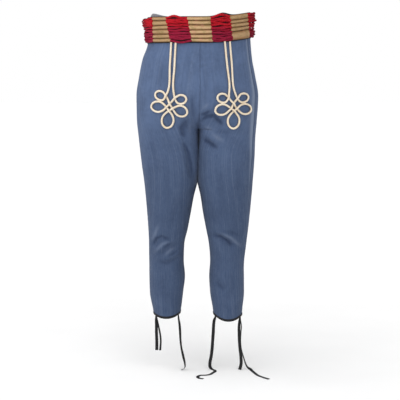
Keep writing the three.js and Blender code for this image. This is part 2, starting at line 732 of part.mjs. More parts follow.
function braid(side, grid) {
  let solid = null;
  for (const piece of braidPieces(side)) {
    const tube = sweep(piece.map((step) => cordSection(side, grid, step)), fanCap(CORD_SIDES));
    solid = solid ? solid.add(asSolid(tube)) : asSolid(tube);
  }
  const mesh = solid.getMesh();
  const geometry = new THREE.BufferGeometry();
  geometry.setAttribute('position', new THREE.Float32BufferAttribute(mesh.vertProperties, 3));
  geometry.setIndex(Array.from(mesh.triVerts));
  return geometry;
}

// A flat ribbon sewn inside the hem, then falling along its route.
function ribbon({ leg, angle, route }) {
  const hem = HEM[leg];
  const seam = valueAt(SIDE_SEAM, leg, hem.side);
  const inner = angle === 180;
  const u = inner ? 0.985 : Math.abs(angle - seam) / 180;
  const face = angle < 0 ? 'back' : 'front';
  const inset = CLOTH + BINDING.far + RIBBON.clearance + RIBBON.thickness / 2;
  const points = [];
  for (const up of [RIBBON.sewnDepth, 3, -RIBBON.fall]) {
    const at = clothPoint(leg, face, u, hem.side + up, -inset);
    const tilt = inner ? 0 : (leg === 'right' ? angle : -angle);
    points.push({ x: at.x, y: at.y, z: at.z, face: 90 + tilt });
  }
  points.push(...route);
  const line = new THREE.CatmullRomCurve3(points.map((p) => new THREE.Vector3(p.x, p.y, p.z)));
  const steps = Math.round(line.getLength() / RIBBON_STEP);
  const sections = [];
  for (let i = 0; i <= steps; i += 1) {
    const t = line.getUtoTmapping(i / steps);
    const place = t * (points.length - 1);
    const k = Math.min(Math.floor(place), points.length - 2);
    const turn = radians(points[k].face + (points[k + 1].face - points[k].face) * (place - k));
    const centre = line.getPoint(t);
    const heading = line.getTangent(t);
    const width = new THREE.Vector3(Math.cos(turn), Math.sin(turn), 0);
    width.addScaledVector(heading, -width.dot(heading)).normalize();
    const thick = heading.clone().cross(width).normalize();
    const half = RIBBON.thickness / 2;
    sections.push([[-1, -1], [1, -1], [1, 1], [-1, 1]].map(([w, n]) => {
      const corner = centre.clone().addScaledVector(width, (w * RIBBON.width) / 2)
        .addScaledVector(thick, n * half);
      corner.z = Math.max(corner.z, FLOOR + (n * thick.z > 0 ? RIBBON.thickness : 0.2));
      return corner;
    }));
  }
  return sweep(sections, fanCap(4));
}

function mesh(name, geometry, paint) {
  const piece = new THREE.Mesh(geometry, new THREE.MeshStandardMaterial(paints[paint]));
  piece.name = name;
  return piece;
}

const trousers = new THREE.Group();

const rows = panelRows();
for (const side of ['right', 'left']) {
  const front = panel(side, 'front', rows);
  const back = panel(side, 'back', rows);
  trousers.add(mesh(`front_${side}`, front.geometry, 'cloth'));
  trousers.add(mesh(`back_${side}`, back.geometry, 'cloth'));
  trousers.add(mesh(`hem_binding_${side}`, hemBinding(front, back), 'black'));
  trousers.add(mesh(`braid_${side}`, braid(side, front.grid), 'braid'));
}

trousers.add(mesh('waistband', waistRing(-CLOTH - 0.5, 0,
  () => WAISTBAND_SEAM + SEAM_GAP, waistbandTop, WAISTBAND.columns), 'waistband'));
trousers.add(mesh('sash_backing', waistRing(BACKING.near, BACKING.far,
  (arc) => sashMiddle(arc) - BACKING.below,
  (arc) => sashMiddle(arc) + BACKING.above + sashHump(arc)), 'black'));

function addSashPiece({ kind, name, bulge, ridges }, from, to) {
  const start = { arc: from.arc + SASH_GAP / 2, lean: from.lean };
  const end = { arc: to.arc - SASH_GAP / 2, lean: to.lean };
  const geometry = kind === 'barrel' ? sashBarrel(start, end, ridges) : sashStrands(start, end, bulge);
  trousers.add(mesh(`sash_${kind}_${name}`, geometry, kind));
}

const frontRight = { arc: -FRONT_BARREL.width / 2, lean: FRONT_BARREL.rightLean };
const frontLeft = { arc: FRONT_BARREL.width / 2, lean: FRONT_BARREL.leftLean };
addSashPiece({ kind: 'barrel', name: 'front', ridges: FRONT_BARREL.ridges }, frontRight, frontLeft);
let rightEnd = frontRight;
for (const piece of SASH_RIGHTWARD) {
  const far = { arc: rightEnd.arc - piece.width, lean: piece.lean };
  addSashPiece(piece, far, rightEnd);
  rightEnd = far;
}
let leftEnd = frontLeft;
for (const piece of SASH_LEFTWARD) {
  const far = { arc: leftEnd.arc + piece.width, lean: piece.lean };
  addSashPiece(piece, leftEnd, far);
  leftEnd = far;
}
addSashPiece({ kind: 'barrel', name: 'back', ridges: BACK_BARREL.ridges },
  leftEnd, { arc: WAIST_LENGTH + rightEnd.arc, lean: rightEnd.lean });

for (const tie of RIBBONS) trousers.add(mesh(tie.node, ribbon(tie), 'black'));

export default trousers;
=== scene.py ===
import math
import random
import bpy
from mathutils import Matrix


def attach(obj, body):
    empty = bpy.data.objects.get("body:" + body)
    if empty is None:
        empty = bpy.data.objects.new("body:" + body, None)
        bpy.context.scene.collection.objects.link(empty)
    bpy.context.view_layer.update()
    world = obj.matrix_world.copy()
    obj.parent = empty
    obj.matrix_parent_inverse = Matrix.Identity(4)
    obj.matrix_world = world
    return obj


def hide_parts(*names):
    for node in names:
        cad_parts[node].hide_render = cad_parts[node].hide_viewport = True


bl_info = {
    "name": "Hussar Trousers",
    "version": (1, 0, 0),
    "blender": (4, 5, 0),
    "location": "View3D > Sidebar > Trousers",
    "description": "Light blue trousers with knotted braid, a barrel sash and ribbon ties",
    "category": "Object",
}

import bmesh
import bpy
import numpy as np
from mathutils import Vector, noise

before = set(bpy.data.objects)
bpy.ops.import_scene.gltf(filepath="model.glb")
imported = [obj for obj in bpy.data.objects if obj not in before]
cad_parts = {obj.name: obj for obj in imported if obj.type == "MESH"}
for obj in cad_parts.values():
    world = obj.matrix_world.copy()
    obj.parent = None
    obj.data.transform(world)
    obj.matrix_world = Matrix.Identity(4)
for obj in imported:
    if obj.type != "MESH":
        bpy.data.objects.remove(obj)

# Lengths in the tables are in millimetres, as a cutter writes them, and become metres in the meshes.
MM = 0.001
SIDES = {"right": -1, "left": 1}
FACES = {"front": -1, "back": 1}

# Garment sizes, the same as those of the solids but for the inner legs, which are pressed together here
CLOTH_THICKNESS = 1.8
WAISTBAND = {"top": 37, "rise": 13, "peak": -172, "front_reach": 50, "rear_reach": 14}
WAISTBAND_SEAM = 14
CROTCH_START = -235
CROTCH = -318
FLOOR = -1134
HEM = {
    "right": {"side": -941, "front": 9.5, "back": 7},
    "left": {"side": -946, "front": 14, "back": 8},
}
HEM_RISE = 4.6
HEM_EASE = 120
HEM_DIP_POWER = 2.2
HIP_POWER = 2.15
FORK_POWER = 9
WAVER_SEEDS = {"front": 3.7, "back": 8.1}
HIP_FADE = (CROTCH_START, -425)
SEAM_GAP = 0.05

OUTLINE = {
    "height": (52, -42, -97, -150, -215, -281, -360, -439, -519, -626, -707, -788, -869, -924, -965),
    "right": (161, 162, 180, 191, 200, 200, 193, 184, 174, 165, 161, 161, 159, 149, 142),
    "left": (170, 174, 180, 191, 202, 199, 192, 187, 181, 172, 162, 155, 155, 150, 147),
}
INNER_LEG = {
    "height": (CROTCH, -440, -492, -546, -600, -653, -707, -761, -815, -869, -924, -965),
    "right": (-13, -9, -1.6, 12, 22, 32, 44, 46, 42, 48, 55, 62),
    "left": (-5, -5, -1.6, 10, 18, 28, 38, 42, 39, 42, 51, 56),
}
# Where the pressed thighs meet, off the middle, how far each is pressed past that line, and where they part
PRESSED = 2.2
THIGHS_PART = -500
THIGH_LINE = {"height": (CROTCH_START, CROTCH, -420, THIGHS_PART), "off": (2, 4, 3, 0.2)}
HIP_DEPTH = {
    "height": (52, -42, -150, CROTCH_START, CROTCH, -400),
    "front": (-117, -119, -127, -131, -128, -116),
    "back": (119, 124, 143, 157, 152, 132),
}
LEG_DEPTH = {
    "height": (CROTCH_START, CROTCH, -400, -519, -626, -707, -788, -869, -965),
    "front": (-122, -116, -103, -88, -74, -64, -56, -54, -52),
    "back": (140, 130, 111, 93, 79, 67, 76, 68, 58),
}
LEG_POWER = {"height": (CROTCH_START, CROTCH, -519), "power": (2.8, 2.7, 2.1)}
TWIST = {"height": (52, -180, -400), "turn": (4.5, 4.5, 0)}
SIDE_SEAM = {
    "height": (52, -97, -250, -400, -600, -965),
    "right": (-8, -8, -7, -6, -2, 0),
    "left": (27, 25, 25, 31, 27, 0),
}

# Rows of a panel from the top down: where each stretch ends, how many rows, and if they crowd at its end
ROW_STRETCHES = (
    (CROTCH_START, 66, False),
    (CROTCH, 26, True),
    (-640, 84, False),
    (-780, 46, False),
    (HEM["left"]["side"], 44, False),
)
PANEL_COLUMNS = 80

# Large soft folds on each face: start, end, depth inwards and half width
FOLDS = {
    "front": (
        ((12, -274), (52, -266), 6, 11),
        ((18, -258), (50, -236), -4, 11),
        ((24, -286), (84, -297), 5, 11),
        ((-17, -290), (-40, -344), 6, 11),
        ((20, -356), (66, -381), 6, 12),
        ((26, -336), (70, -358), -3, 11),
        ((-39, -368), (-18, -478), 6, 11),
        ((-148, -699), (-88, -680), 5, 11),
        ((-139, -726), (-93, -690), -4, 10),
        ((-126, -734), (-66, -704), 5, 10),
        ((-108, -752), (-60, -727), -4, 10),
        ((-124, -766), (-64, -748), 4, 11),
        ((50, -668), (116, -701), 6, 11),
        ((82, -658), (142, -698), -4, 11),
        ((62, -826), (92, -852), 4, 13),
    ),
    "back": (
        ((-150, -690), (-70, -706), 6, 12),
        ((-140, -722), (-62, -728), 5, 12),
        ((56, -684), (138, -704), 6, 12),
        ((60, -726), (140, -736), 5, 12),
        ((-24, -322), (-120, -352), 6, 14),
        ((28, -318), (124, -346), 6, 14),
        ((-30, -372), (-92, -420), 5, 13),
    ),
}

# Narrower creases on them: points in front view, depth inwards and half width
CREASES = {
    "front": (
        (((-128, -635), (-138, -663), (-151, -693)), -2.6, 5.0),
        (((-149, -706), (-135, -680), (-116, -672), (-91, -685)), 3.6, 4.6),
        (((-141, -727), (-116, -698), (-91, -688)), -2.4, 4.8),
        (((-113, -713), (-98, -702), (-83, -695)), 3.2, 4.2),
        (((-108, -736), (-91, -719), (-74, -710)), -2.2, 4.5),
        (((-98, -740), (-81, -731), (-64, -720)), 3.4, 4.5),
        (((-124, -758), (-101, -765), (-78, -758)), 1.4, 6.0),
        (((52, -671), (77, -674), (95, -684), (117, -705)), 4.2, 4.2),
        (((78, -662), (108, -675), (145, -709)), -2.8, 5.0),
        (((88, -652), (120, -662), (138, -676)), 1.8, 6.0),
        (((62, -720), (72, -744), (76, -770)), 1.4, 7.0),
        (((63, -830), (88, -854)), 2.4, 5.0),
        (((8, -271), (24, -268), (42, -259)), 5.4, 4.6),
        (((16, -254), (36, -236)), -2.4, 5.0),
        (((10, -292), (31, -278), (54, -275), (82, -304)), 6.2, 5.6),
        (((16, -350), (39, -363), (64, -381)), 4.8, 5.4),
        (((44, -332), (84, -359)), -2.6, 6.5),
        (((64, -323), (108, -330)), 1.6, 7.0),
        (((22, -310), (50, -322)), -1.8, 7.0),
        (((-30, -286), (-50, -315), (-46, -346)), 5.2, 8.5),
        (((-22, -292), (-26, -340)), -1.6, 5.0),
        (((-46, -356), (-29, -395), (-21, -436), (-17, -480)), 4.4, 5.0),
        (((-15, -205), (-16, -255), (-12, -290)), 3.0, 8.5),
        (((-112, -118), (-124, -190)), 0.9, 9.0),
        (((30, -120), (26, -210)), 0.9, 9.0),
        (((-30, -72), (-24, -150)), 0.9, 8.0),
        (((62, -66), (70, -130)), 0.8, 8.0),
        (((-150, -330), (-128, -470)), 1.0, 10.0),
        (((-100, -420), (-96, -560)), 1.0, 10.0),
        (((150, -420), (120, -560)), 1.0, 10.0),
        (((70, -440), (84, -580)), 1.0, 10.0),
        (((-70, -560), (-84, -640)), 1.2, 8.0),
        (((44, -590), (66, -640)), 1.3, 7.0),
        (((-120, -800), (-112, -890)), 1.0, 8.0),
        (((118, -780), (112, -880)), 1.0, 8.0),
    ),
    "back": (
        (((-148, -690), (-118, -698), (-74, -704)), 3.8, 4.5),
        (((-140, -706), (-100, -714), (-70, -716)), -2.2, 5.0),
        (((-138, -720), (-104, -729), (-64, -726)), 3.2, 4.5),
        (((-130, -748), (-88, -752)), 2.2, 5.0),
        (((58, -678), (96, -697), (136, -700)), 3.8, 4.5),
        (((62, -700), (98, -714), (136, -716)), -2.2, 5.0),
        (((64, -722), (100, -735), (138, -732)), 3.2, 4.5),
        (((80, -754), (122, -748)), 2.0, 5.0),
        (((-20, -316), (-66, -344), (-120, -350)), 3.6, 5.5),
        (((24, -313), (70, -338), (124, -343)), 3.6, 5.5),
        (((-26, -342), (-80, -370)), -2.2, 6.0),
        (((-26, -368), (-92, -420)), 2.8, 6.0),
        (((28, -364), (86, -404)), 2.6, 6.0),
        (((-60, -60), (-70, -150)), 1.2, 9.0),
        (((58, -58), (72, -140)), 1.2, 9.0),
        (((-110, -790), (-100, -880)), 1.2, 9.0),
        (((104, -790), (98, -870)), 1.2, 9.0),
    ),
}

# Braid: the loops of a knot, as on the solids
CORD_RADIUS = 3.3
KNOT_POINTS = 12
KNOT_LOOPS = (
    {"across": -36, "up": 23, "length": 35, "width": 28, "lean": -12, "go": -40, "turn": -285},
    {"across": 37, "up": -13, "length": 42, "width": 33, "lean": -8, "go": -140, "turn": 265},
    {"across": 0, "up": -50, "length": 38, "width": 50, "lean": 0, "go": 125, "turn": 290},
    {"across": -38, "up": -13, "length": 44, "width": 33, "lean": 8, "go": 55, "turn": 265},
    {"across": 31, "up": 23, "length": 35, "width": 28, "lean": 12, "go": 145, "turn": -285},
)
KNOTS = {
    "right": {"x": -86, "z": -240, "turn": -10, "top": -42,
              "stems": (-82, -68), "bends": (-91, -76)},
    "left": {"x": 115, "z": -242, "turn": 0, "top": -39,
             "stems": (86, 102), "bends": (101, 115)},
}
STEM_BEND = -190
KNOT_NARROW = 0.98

# Sash: pieces from the front barrel towards each side, with their widths along the waist
SASH_MIDDLE = -1
SASH_HALF = 40
BACKING_FOOT = 43
BACKING_TOP = 40.5
SASH_LIFT = 17
SASH_LIFT_REACH = 170
SASH_LIFT_POWER = 2.5
SASH_HUMP = {"arc": 73, "height": 9.5, "reach": 24}
FRONT_BARREL = 71
SASH_PIECES = {
    -1: (("strands", "front_right", 65), ("barrel", "right", 61), ("strands", "side_right", 87),
         ("barrel", "back_right", 78), ("strands", "back_right", 82)),
    1: (("strands", "front_left", 62.5), ("barrel", "left", 78.5), ("strands", "side_left", 84),
        ("barrel", "back_left", 78), ("strands", "back_left", 78)),
}
# How far each group of strands bows out at its top and at its foot
STRAND_BULGES = {"side_right": (11, 0), "side_left": (11, 2)}
# Where the edge cords of a group ride up or hang down: share along it, height, half width as a share
STRAND_TOPS = {
    "front_right": ((0.35, 2.0, 0.22), (0.85, -4.0, 0.15)),
    "side_right": ((0.5, -11.0, 0.45),),
    "back_left": ((0.4, 3.0, 0.2),),
}
STRAND_FEET = {"front_right": ((0.66, -4.5, 0.22),), "back_right": ((0.5, -3.0, 0.25),)}
# Heights of the ridges of each barrel, from the top down, as shares of its height
BARREL_RIDGES = {
    "front": (13, 14, 17, 14, 13, 12),
    "right": (12, 16, 13, 15, 13, 12),
    "left": (16, 11, 13, 12, 28),
    "back_right": (13, 13, 15, 14, 13, 12),
    "back_left": (12, 15, 13, 14, 14, 12),
    "back": (13, 14, 13, 15, 13, 12),
}
# How far each boundary between two pieces leans towards the wearer's left at its foot
SASH_LEANS = {
    "front_right|front": 7.5, "right|front_right": 9, "side_right|right": 2,
    "front|front_left": 3.5, "front_left|left": 4, "left|side_left": 5,
}

# Ribbon ties: listed route points, each with the facing of the width in degrees
RIBBON_WIDTH = 10.6
RIBBON_THICKNESS = 0.7
RIBBONS = {
    "ribbon_right_outer_front": (
        (-143.4, -2.6, -926.2, 97), (-141.5, -3.1, -937.2, 97), (-139.5, -3.6, -949.2, 68),
        (-139, -2.5, -962, 40), (-138, -1, -980, 26), (-138, 1, -1006, 22), (-137.2, 3, -1036, 16),
        (-137.2, 1, -1068, 2)),
    "ribbon_right_outer_back": (
        (-143.2, 13.9, -926.2, 81), (-141.3, 13.3, -937.2, 81), (-139.3, 12.6, -949.2, 81),
        (-136, 12.5, -966, 70), (-131.8, 13.5, -985, 68), (-126.6, 13.5, -1012, 62),
        (-124.4, 12, -1040, 60), (-126.2, 8, -1070, 52)),
    "ribbon_right_inner": (
        (-60.3, 1.6, -926.3, 90), (-62.1, 1.2, -937.2, 90), (-64.2, 0.7, -949.2, 70), (-63, 2, -965, 60),
        (-60.6, 2, -981, 48), (-58.6, 1, -1006, 45), (-57, 0, -1034, 54), (-54.2, -2, -1060, 58),
        (-48.4, -3, -1088, 48), (-42.8, -4, -1112, 62), (-42, -6, -1123, 70), (-46, -8, -1129.5, 70),
        (-54, -10, -1132.6, 66)),
    "ribbon_left_inner": (
        (56.9, 1.5, -931.4, 90), (58.3, 1, -942.4, 90), (59.7, 0.6, -954.4, 120), (56, 2, -966, 152),
        (54, 3, -982, 162), (53, 3, -1006, 172), (51.2, 4, -1034, 176), (49.2, 5, -1062, 178),
        (46, 6, -1090, 180), (41.4, 5, -1116, 184), (43, 3, -1128, 200), (50, -4, -1133.2, 230),
        (57, -14, -1133.2, 225), (58, -30, -1133.2, 180), (50, -50, -1133.2, 150),
        (41, -70, -1133.2, 140), (27, -80, -1133.2, 105), (10, -82, -1133.2, 120),
        (1, -98, -1133.2, 178), (5, -118, -1133.2, 215), (19, -127, -1133.2, 260)),
    "ribbon_left_outer_front": (
        (144.1, -3.8, -931.7, 83), (143.4, -3.4, -942.7, 83), (142.6, -2.9, -954.7, 112),
        (141, -3, -968, 140), (139.4, -2.5, -988, 146), (139.6, -3, -1012, 150), (140.4, -3, -1036, 152),
        (142.6, -3, -1062, 158), (145.8, -4, -1088, 166), (146.6, -6, -1113, 176),
        (141.5, -9, -1132.5, 182)),
    "ribbon_left_outer_back": (
        (144.3, 10.7, -931.6, 97), (143.4, 10.9, -942.6, 97), (142.5, 11.2, -954.6, 97),
        (145.6, 10, -970, 100), (147.4, 11.5, -986, 104), (146, 13, -1010, 106),
        (145.2, 13.5, -1036, 108), (147.2, 13, -1063, 110), (154, 12, -1092, 112), (166, 6, -1124, 120),
        (180, -14, -1133.2, 132), (190, -50, -1133.2, 160), (200, -82, -1133.2, 155),
        (215, -108, -1133.2, 148), (233, -131, -1133.2, 142)),
}


def ease(t):
    """Smooth step from 0 to 1."""
    c = min(max(t, 0.0), 1.0)
    return c * c * (3 - 2 * c)


def value_at(table, column, height):
    """Value of a table's column at a height, with no overshoot between its rows."""
    heights = table["height"]
    values = table[column]
    last = len(heights) - 1
    if height >= heights[0]:
        return values[0]
    if height <= heights[last]:
        return values[last]
    i = 0
    while heights[i + 1] > height:
        i += 1

    def slope(k):
        return (values[k + 1] - values[k]) / (heights[k + 1] - heights[k])

    def tangent(k):
        if k in (0, last):
            return slope(min(k, last - 1))
        before = slope(k - 1)
        after = slope(k)
        return 0 if before * after <= 0 else 2 * before * after / (before + after)

    span = heights[i + 1] - heights[i]
    t = (height - heights[i]) / span
    rise = t * t * (3 - 2 * t)
    bend = t * (1 - t) * (1 - t) * tangent(i) - t * t * (1 - t) * tangent(i + 1)
    return values[i] * (1 - rise) + values[i + 1] * rise + span * bend


def oval_term(value, power):
    """One coordinate of a squared-off ellipse."""
    return math.copysign(abs(value) ** (2 / power), value)


def twisted(x, y, z):
    """A point turned with the hips."""
    turn = math.radians(value_at(TWIST, "turn", z))
    return (x * math.cos(turn) - y * math.sin(turn), x * math.sin(turn) + y * math.cos(turn), z)


def section_depth(table, angle, z, power):
    """Place of a section's point between the front and the back."""
    front = value_at(table, "front", z)
    back = value_at(table, "back", z)
    return (front + back) / 2 - (back - front) / 2 * oval_term(math.sin(angle), power)


def hip_section(side, angle, z):
    """A point of the hips' section; the angle starts at the side and grows to the front."""
    x = SIDES[side] * value_at(OUTLINE, side, z) * oval_term(math.cos(angle), HIP_POWER)
    return x, section_depth(HIP_DEPTH, angle, z, HIP_POWER)


def leg_section(side, angle, z):
    """A point of one leg's section."""
    outer = value_at(OUTLINE, side, z)
    inner = value_at(INNER_LEG, side, z)
    power = value_at(LEG_POWER, "power", z)
    out = (outer + inner) / 2 + (outer - inner) / 2 * oval_term(math.cos(angle), power)
    if CROTCH - 2 > z > THIGHS_PART:
        out = max(out, SIDES[side] * value_at(THIGH_LINE, "off", z) - PRESSED)
    return SIDES[side] * out, section_depth(LEG_DEPTH, angle, z, power)


def plain_cloth(side, face, u, z):
    """The cloth before its folds; u runs from the side seam to the centre seam or the inner leg."""
    seam = math.radians(value_at(SIDE_SEAM, side, z))
    towards = -FACES[face]
    hip = hip_section(side, seam + u * (towards * math.pi / 2 - seam), z)
    leg = leg_section(side, seam + u * (towards * math.pi - seam), z)
    fall = min(max((CROTCH_START - z) / (CROTCH_START - CROTCH), 0), 1)
    edge = 1 - math.sqrt(1 - fall * fall)
    near_edge = u ** FORK_POWER
    fade = ease((HIP_FADE[0] - z) / (HIP_FADE[0] - HIP_FADE[1]))
    share = (1 - near_edge) * fade + near_edge * edge
    return twisted(hip[0] + (leg[0] - hip[0]) * share, hip[1] + (leg[1] - hip[1]) * share, z)


def row_height(side, face, u, z):
    """Height of a row's point: near the hem, the rows dip between the seams."""
    hem = HEM[side]
    dip = hem[face] * max(math.sin(math.pi * u), 0) ** HEM_DIP_POWER - HEM_RISE * u
    dip += HEM["left"]["side"] - hem["side"]
    return z - dip * ease((HEM["left"]["side"] + HEM_EASE - z) / HEM_EASE)


def panel_rows():
    """Heights of a panel's rows from the waist seam to the hem."""
    rows = [WAISTBAND_SEAM]
    for end, count, crowded in ROW_STRETCHES:
        start = rows[-1]
        for k in range(1, count + 1):
            t = k / count
            share = math.sin(t * math.pi / 2) if crowded else t
            rows.append(start + (end - start) * share)
    return rows


def grid_normals(grid):
    """Unit normals of a grid of points, one for each point."""
    across = np.gradient(grid, axis=1)
    down = np.gradient(grid, axis=0)
    normals = np.cross(across, down)
    return normals / np.maximum(np.linalg.norm(normals, axis=2, keepdims=True), 1e-9)


def smooth_step(values):
    """Smooth step of an array."""
    c = np.clip(values, 0, 1)
    return c * c * (3 - 2 * c)


def fold_depths(face, grid):
    """How far the large folds push the cloth in."""
    depth = np.zeros(grid.shape[:2])
    for start, end, deep, reach in FOLDS[face]:
        dx = end[0] - start[0]
        dz = end[1] - start[1]
        length = math.hypot(dx, dz)
        x = grid[..., 0] - start[0]
        z = grid[..., 2] - start[1]
        along = (x * dx + z * dz) / length ** 2
        off = (x * dz - z * dx) / length
        taper = smooth_step(np.minimum(along, 1 - along) * 3 + 0.5)
        depth += deep * taper * np.exp(-(off / reach) ** 2)
    return depth


def crease_depths(face, grid):
    """How far the narrow creases push the cloth in: each fades towards both its ends."""
    depth = np.zeros(grid.shape[:2])
    for points, deep, reach in CREASES[face]:
        lengths = [math.dist(a, b) for a, b in zip(points, points[1:])]
        nearest = np.full(depth.shape, 1e9)
        place = np.zeros(depth.shape)
        passed = 0
        for (x0, z0), (x1, z1), length in zip(points, points[1:], lengths):
            x = grid[..., 0] - x0
            z = grid[..., 2] - z0
            t = np.clip((x * (x1 - x0) + z * (z1 - z0)) / length ** 2, 0, 1)
            away = np.hypot(x - t * (x1 - x0), z - t * (z1 - z0))
            closer = away < nearest
            nearest = np.where(closer, away, nearest)
            place = np.where(closer, passed + t * length, place)
            passed += length
        middle = np.sin(np.pi * np.clip(place / passed, 0.02, 0.98)) ** 0.6
        depth += deep * middle * np.exp(-(nearest / reach) ** 2)
    return depth


def cloth_waver(grid, seed):
    """Slight unevenness of worn cloth, in millimetres."""
    waver = np.zeros(grid.shape[:2])
    for i, row in enumerate(grid):
        for j, (x, y, z) in enumerate(row):
            broad = noise.noise(Vector((x / 42, y / 42, z / 95 + seed)))
            fine = noise.noise(Vector((x / 14, y / 14, z / 26 - seed)))
            waver[i, j] = 0.9 * broad + 0.25 * fine
    return waver


def panel_grid(side, face):
    """Points of a panel's outer face, in millimetres, rows from the top and columns from the side seam."""
    rows = []
    for z in panel_rows():
        margin = SEAM_GAP / 2 / (value_at(OUTLINE, side, z) * 1.6)
        row = []
        for j in range(PANEL_COLUMNS + 1):
            u = margin + (1 - 2 * margin) * j / PANEL_COLUMNS
            row.append(plain_cloth(side, face, u, row_height(side, face, u, z)))
        rows.append(row)
    plain = np.array(rows)
    normals = grid_normals(plain) * (SIDES[side] * -FACES[face])
    u = np.linspace(0, 1, PANEL_COLUMNS + 1)[None, :]
    seamward = smooth_step(np.minimum(u * 8, (1 - u) * 3))
    finer = smooth_step(np.minimum(u * 14, (1 - u) * 9))
    depth = fold_depths(face, plain) * seamward
    depth += crease_depths(face, plain) * finer
    depth += cloth_waver(plain, WAVER_SEEDS[face]) * finer
    depth += seam_depths(plain, face)
    return plain - normals * depth[..., None]


def seam_distances(grid):
    """Distances over the cloth from the side seam and from the centre seam or the inner leg."""
    steps = np.linalg.norm(np.diff(grid, axis=1), axis=2)
    from_side = np.concatenate([np.zeros((len(grid), 1)), np.cumsum(steps, axis=1)], axis=1)
    return from_side, from_side[:, -1:] - from_side


def seam_depths(grid, face):
    """The seams are pressed in, the centre front only from the fork down, with a low raised edge."""
    from_side, from_middle = seam_distances(grid)
    depth = 0.7 * np.exp(-(from_side / 1.6) ** 2) - 0.75 * np.exp(-((from_side - 5.0) / 3.0) ** 2)
    middle = 1.2 * np.exp(-(from_middle / 2.4) ** 2) - 0.5 * np.exp(-((from_middle - 6.0) / 3.2) ** 2)
    if face == "front":
        middle *= smooth_step((-262 - grid[..., 2]) / 22)
    middle *= 1 - smooth_step((-300 - grid[..., 2]) / 40)
    return depth + middle


def add_grid(bm, points, uvs=None):
    """Adds a grid of points in millimetres to a bmesh, with its UV in metres."""
    points = np.asarray(points, dtype=float)
    count_down, count_across = points.shape[:2]
    layer = bm.loops.layers.uv.verify()
    made = bmesh.ops.create_grid(
        bm, x_segments=count_across - 1, y_segments=count_down - 1, size=1.0, calc_uvs=True)
    flat = points.reshape(-1, 3) * MM
    place = {}
    for i, vert in enumerate(made["verts"]):
        vert.co = flat[i]
        place[vert] = i
    faces = {face for vert in made["verts"] for face in vert.link_faces}
    if uvs is not None:
        flat_uvs = np.asarray(uvs, dtype=float).reshape(-1, 2) * MM
        for face in faces:
            for loop in face.loops:
                loop[layer].uv = flat_uvs[place[loop.vert]]
    return made["verts"]


def close_tube(bm, verts, points, capped=False):
    """Joins the last column of a grid to its first, and closes the ends of the tube."""
    points = np.asarray(points, dtype=float)
    count_down, count_across = points.shape[:2]
    first = [verts[i * count_across] for i in range(count_down)]
    last = [verts[(i + 1) * count_across - 1] for i in range(count_down)]
    if capped:
        for row in (0, count_down - 1):
            ring = verts[row * count_across:(row + 1) * count_across - 1]
            centre = points[row, :-1].mean(axis=0) * MM
            cap_ring(bm, ring, last[0] if row == 0 else last[-1], centre)
    bmesh.ops.weld_verts(bm, targetmap=dict(zip(last, first)))


def cap_ring(bm, ring, closing, centre):
    """Closes the end of a tube with a fan of faces round its centre."""
    hub = bm.verts.new(centre)
    loop = list(ring) + [closing]
    for a, b in zip(loop, loop[1:]):
        bm.faces.new((a, b, hub))


def surface_uvs(points):
    """UV of a grid in millimetres along the surface, measured from the middle column and the top row."""
    points = np.asarray(points, dtype=float)
    across = np.linalg.norm(np.diff(points, axis=1), axis=2)
    u = np.concatenate([np.zeros((points.shape[0], 1)), np.cumsum(across, axis=1)], axis=1)
    u -= u[:, points.shape[1] // 2][:, None]
    down = np.linalg.norm(np.diff(points, axis=0), axis=2).mean(axis=1)
    v = -np.concatenate([[0], np.cumsum(down)])
    return np.stack([u, np.repeat(v[:, None], points.shape[1], axis=1)], axis=2)


def link_mesh(name, bm):
    """Turns a bmesh into an object of the scene."""
    mesh = bpy.data.meshes.new(name)
    bm.to_mesh(mesh)
    bm.free()
    made = bpy.data.objects.new(name, mesh)
    bpy.context.scene.collection.objects.link(made)
    return made


def make_piece(name, bm, slot, nodes, outward=None):
    """Turns a bmesh into a piece of the object that rides on it and stands for its solids."""
    if outward is None:
        bmesh.ops.recalc_face_normals(bm, faces=bm.faces)
    else:
        bm.normal_update()
        facing = sum(face.normal.dot(outward(face.calc_center_median())) for face in bm.faces)
        if facing < 0:
            bmesh.ops.reverse_faces(bm, faces=bm.faces)
    piece = link_mesh(name, bm)
    piece.data.shade_smooth()
    piece.data.materials.append(material_for(slot))
    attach(piece, "root")
    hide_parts(*nodes)
    return piece


def spline_points(points, steps):
    """Points along a smooth line through the given ones, with an equal number between each two."""
    points = [np.asarray(p, dtype=float) for p in points]
    padded = [2 * points[0] - points[1]] + points + [2 * points[-1] - points[-2]]
    line = []
    for a, b, c, d in zip(padded, padded[1:], padded[2:], padded[3:]):
        knots = [0.0]
        for p, q in ((a, b), (b, c), (c, d)):
            knots.append(knots[-1] + max(float(np.linalg.norm((q - p)[:3])), 1e-6) ** 0.5)
        for k in range(steps):
            t = knots[1] + (knots[2] - knots[1]) * k / steps
            ab = a + (b - a) * (t - knots[0]) / (knots[1] - knots[0])
            bc = b + (c - b) * (t - knots[1]) / (knots[2] - knots[1])
            cd = c + (d - c) * (t - knots[2]) / (knots[3] - knots[2])
            abc = ab + (bc - ab) * (t - knots[0]) / (knots[2] - knots[0])
            bcd = bc + (cd - bc) * (t - knots[1]) / (knots[3] - knots[1])
            line.append(abc + (bcd - abc) * (t - knots[1]) / (knots[2] - knots[1]))
    line.append(points[-1])
    return np.array(line)


def lengths_along(line):
    """Length from the start of a line to each of its points."""
    return np.concatenate([[0], np.cumsum(np.linalg.norm(np.diff(line, axis=0), axis=1))])


def unit(vectors):
    """The same directions at length 1."""
    return vectors / np.linalg.norm(vectors, axis=1, keepdims=True)


def evenly(line, step):
    """The same line with points an equal distance apart."""
    passed = lengths_along(line[:, :3])
    wanted = np.linspace(0, passed[-1], max(int(round(passed[-1] / step)), 2) + 1)
    return np.stack([np.interp(wanted, passed, line[:, k]) for k in range(line.shape[1])], axis=1)


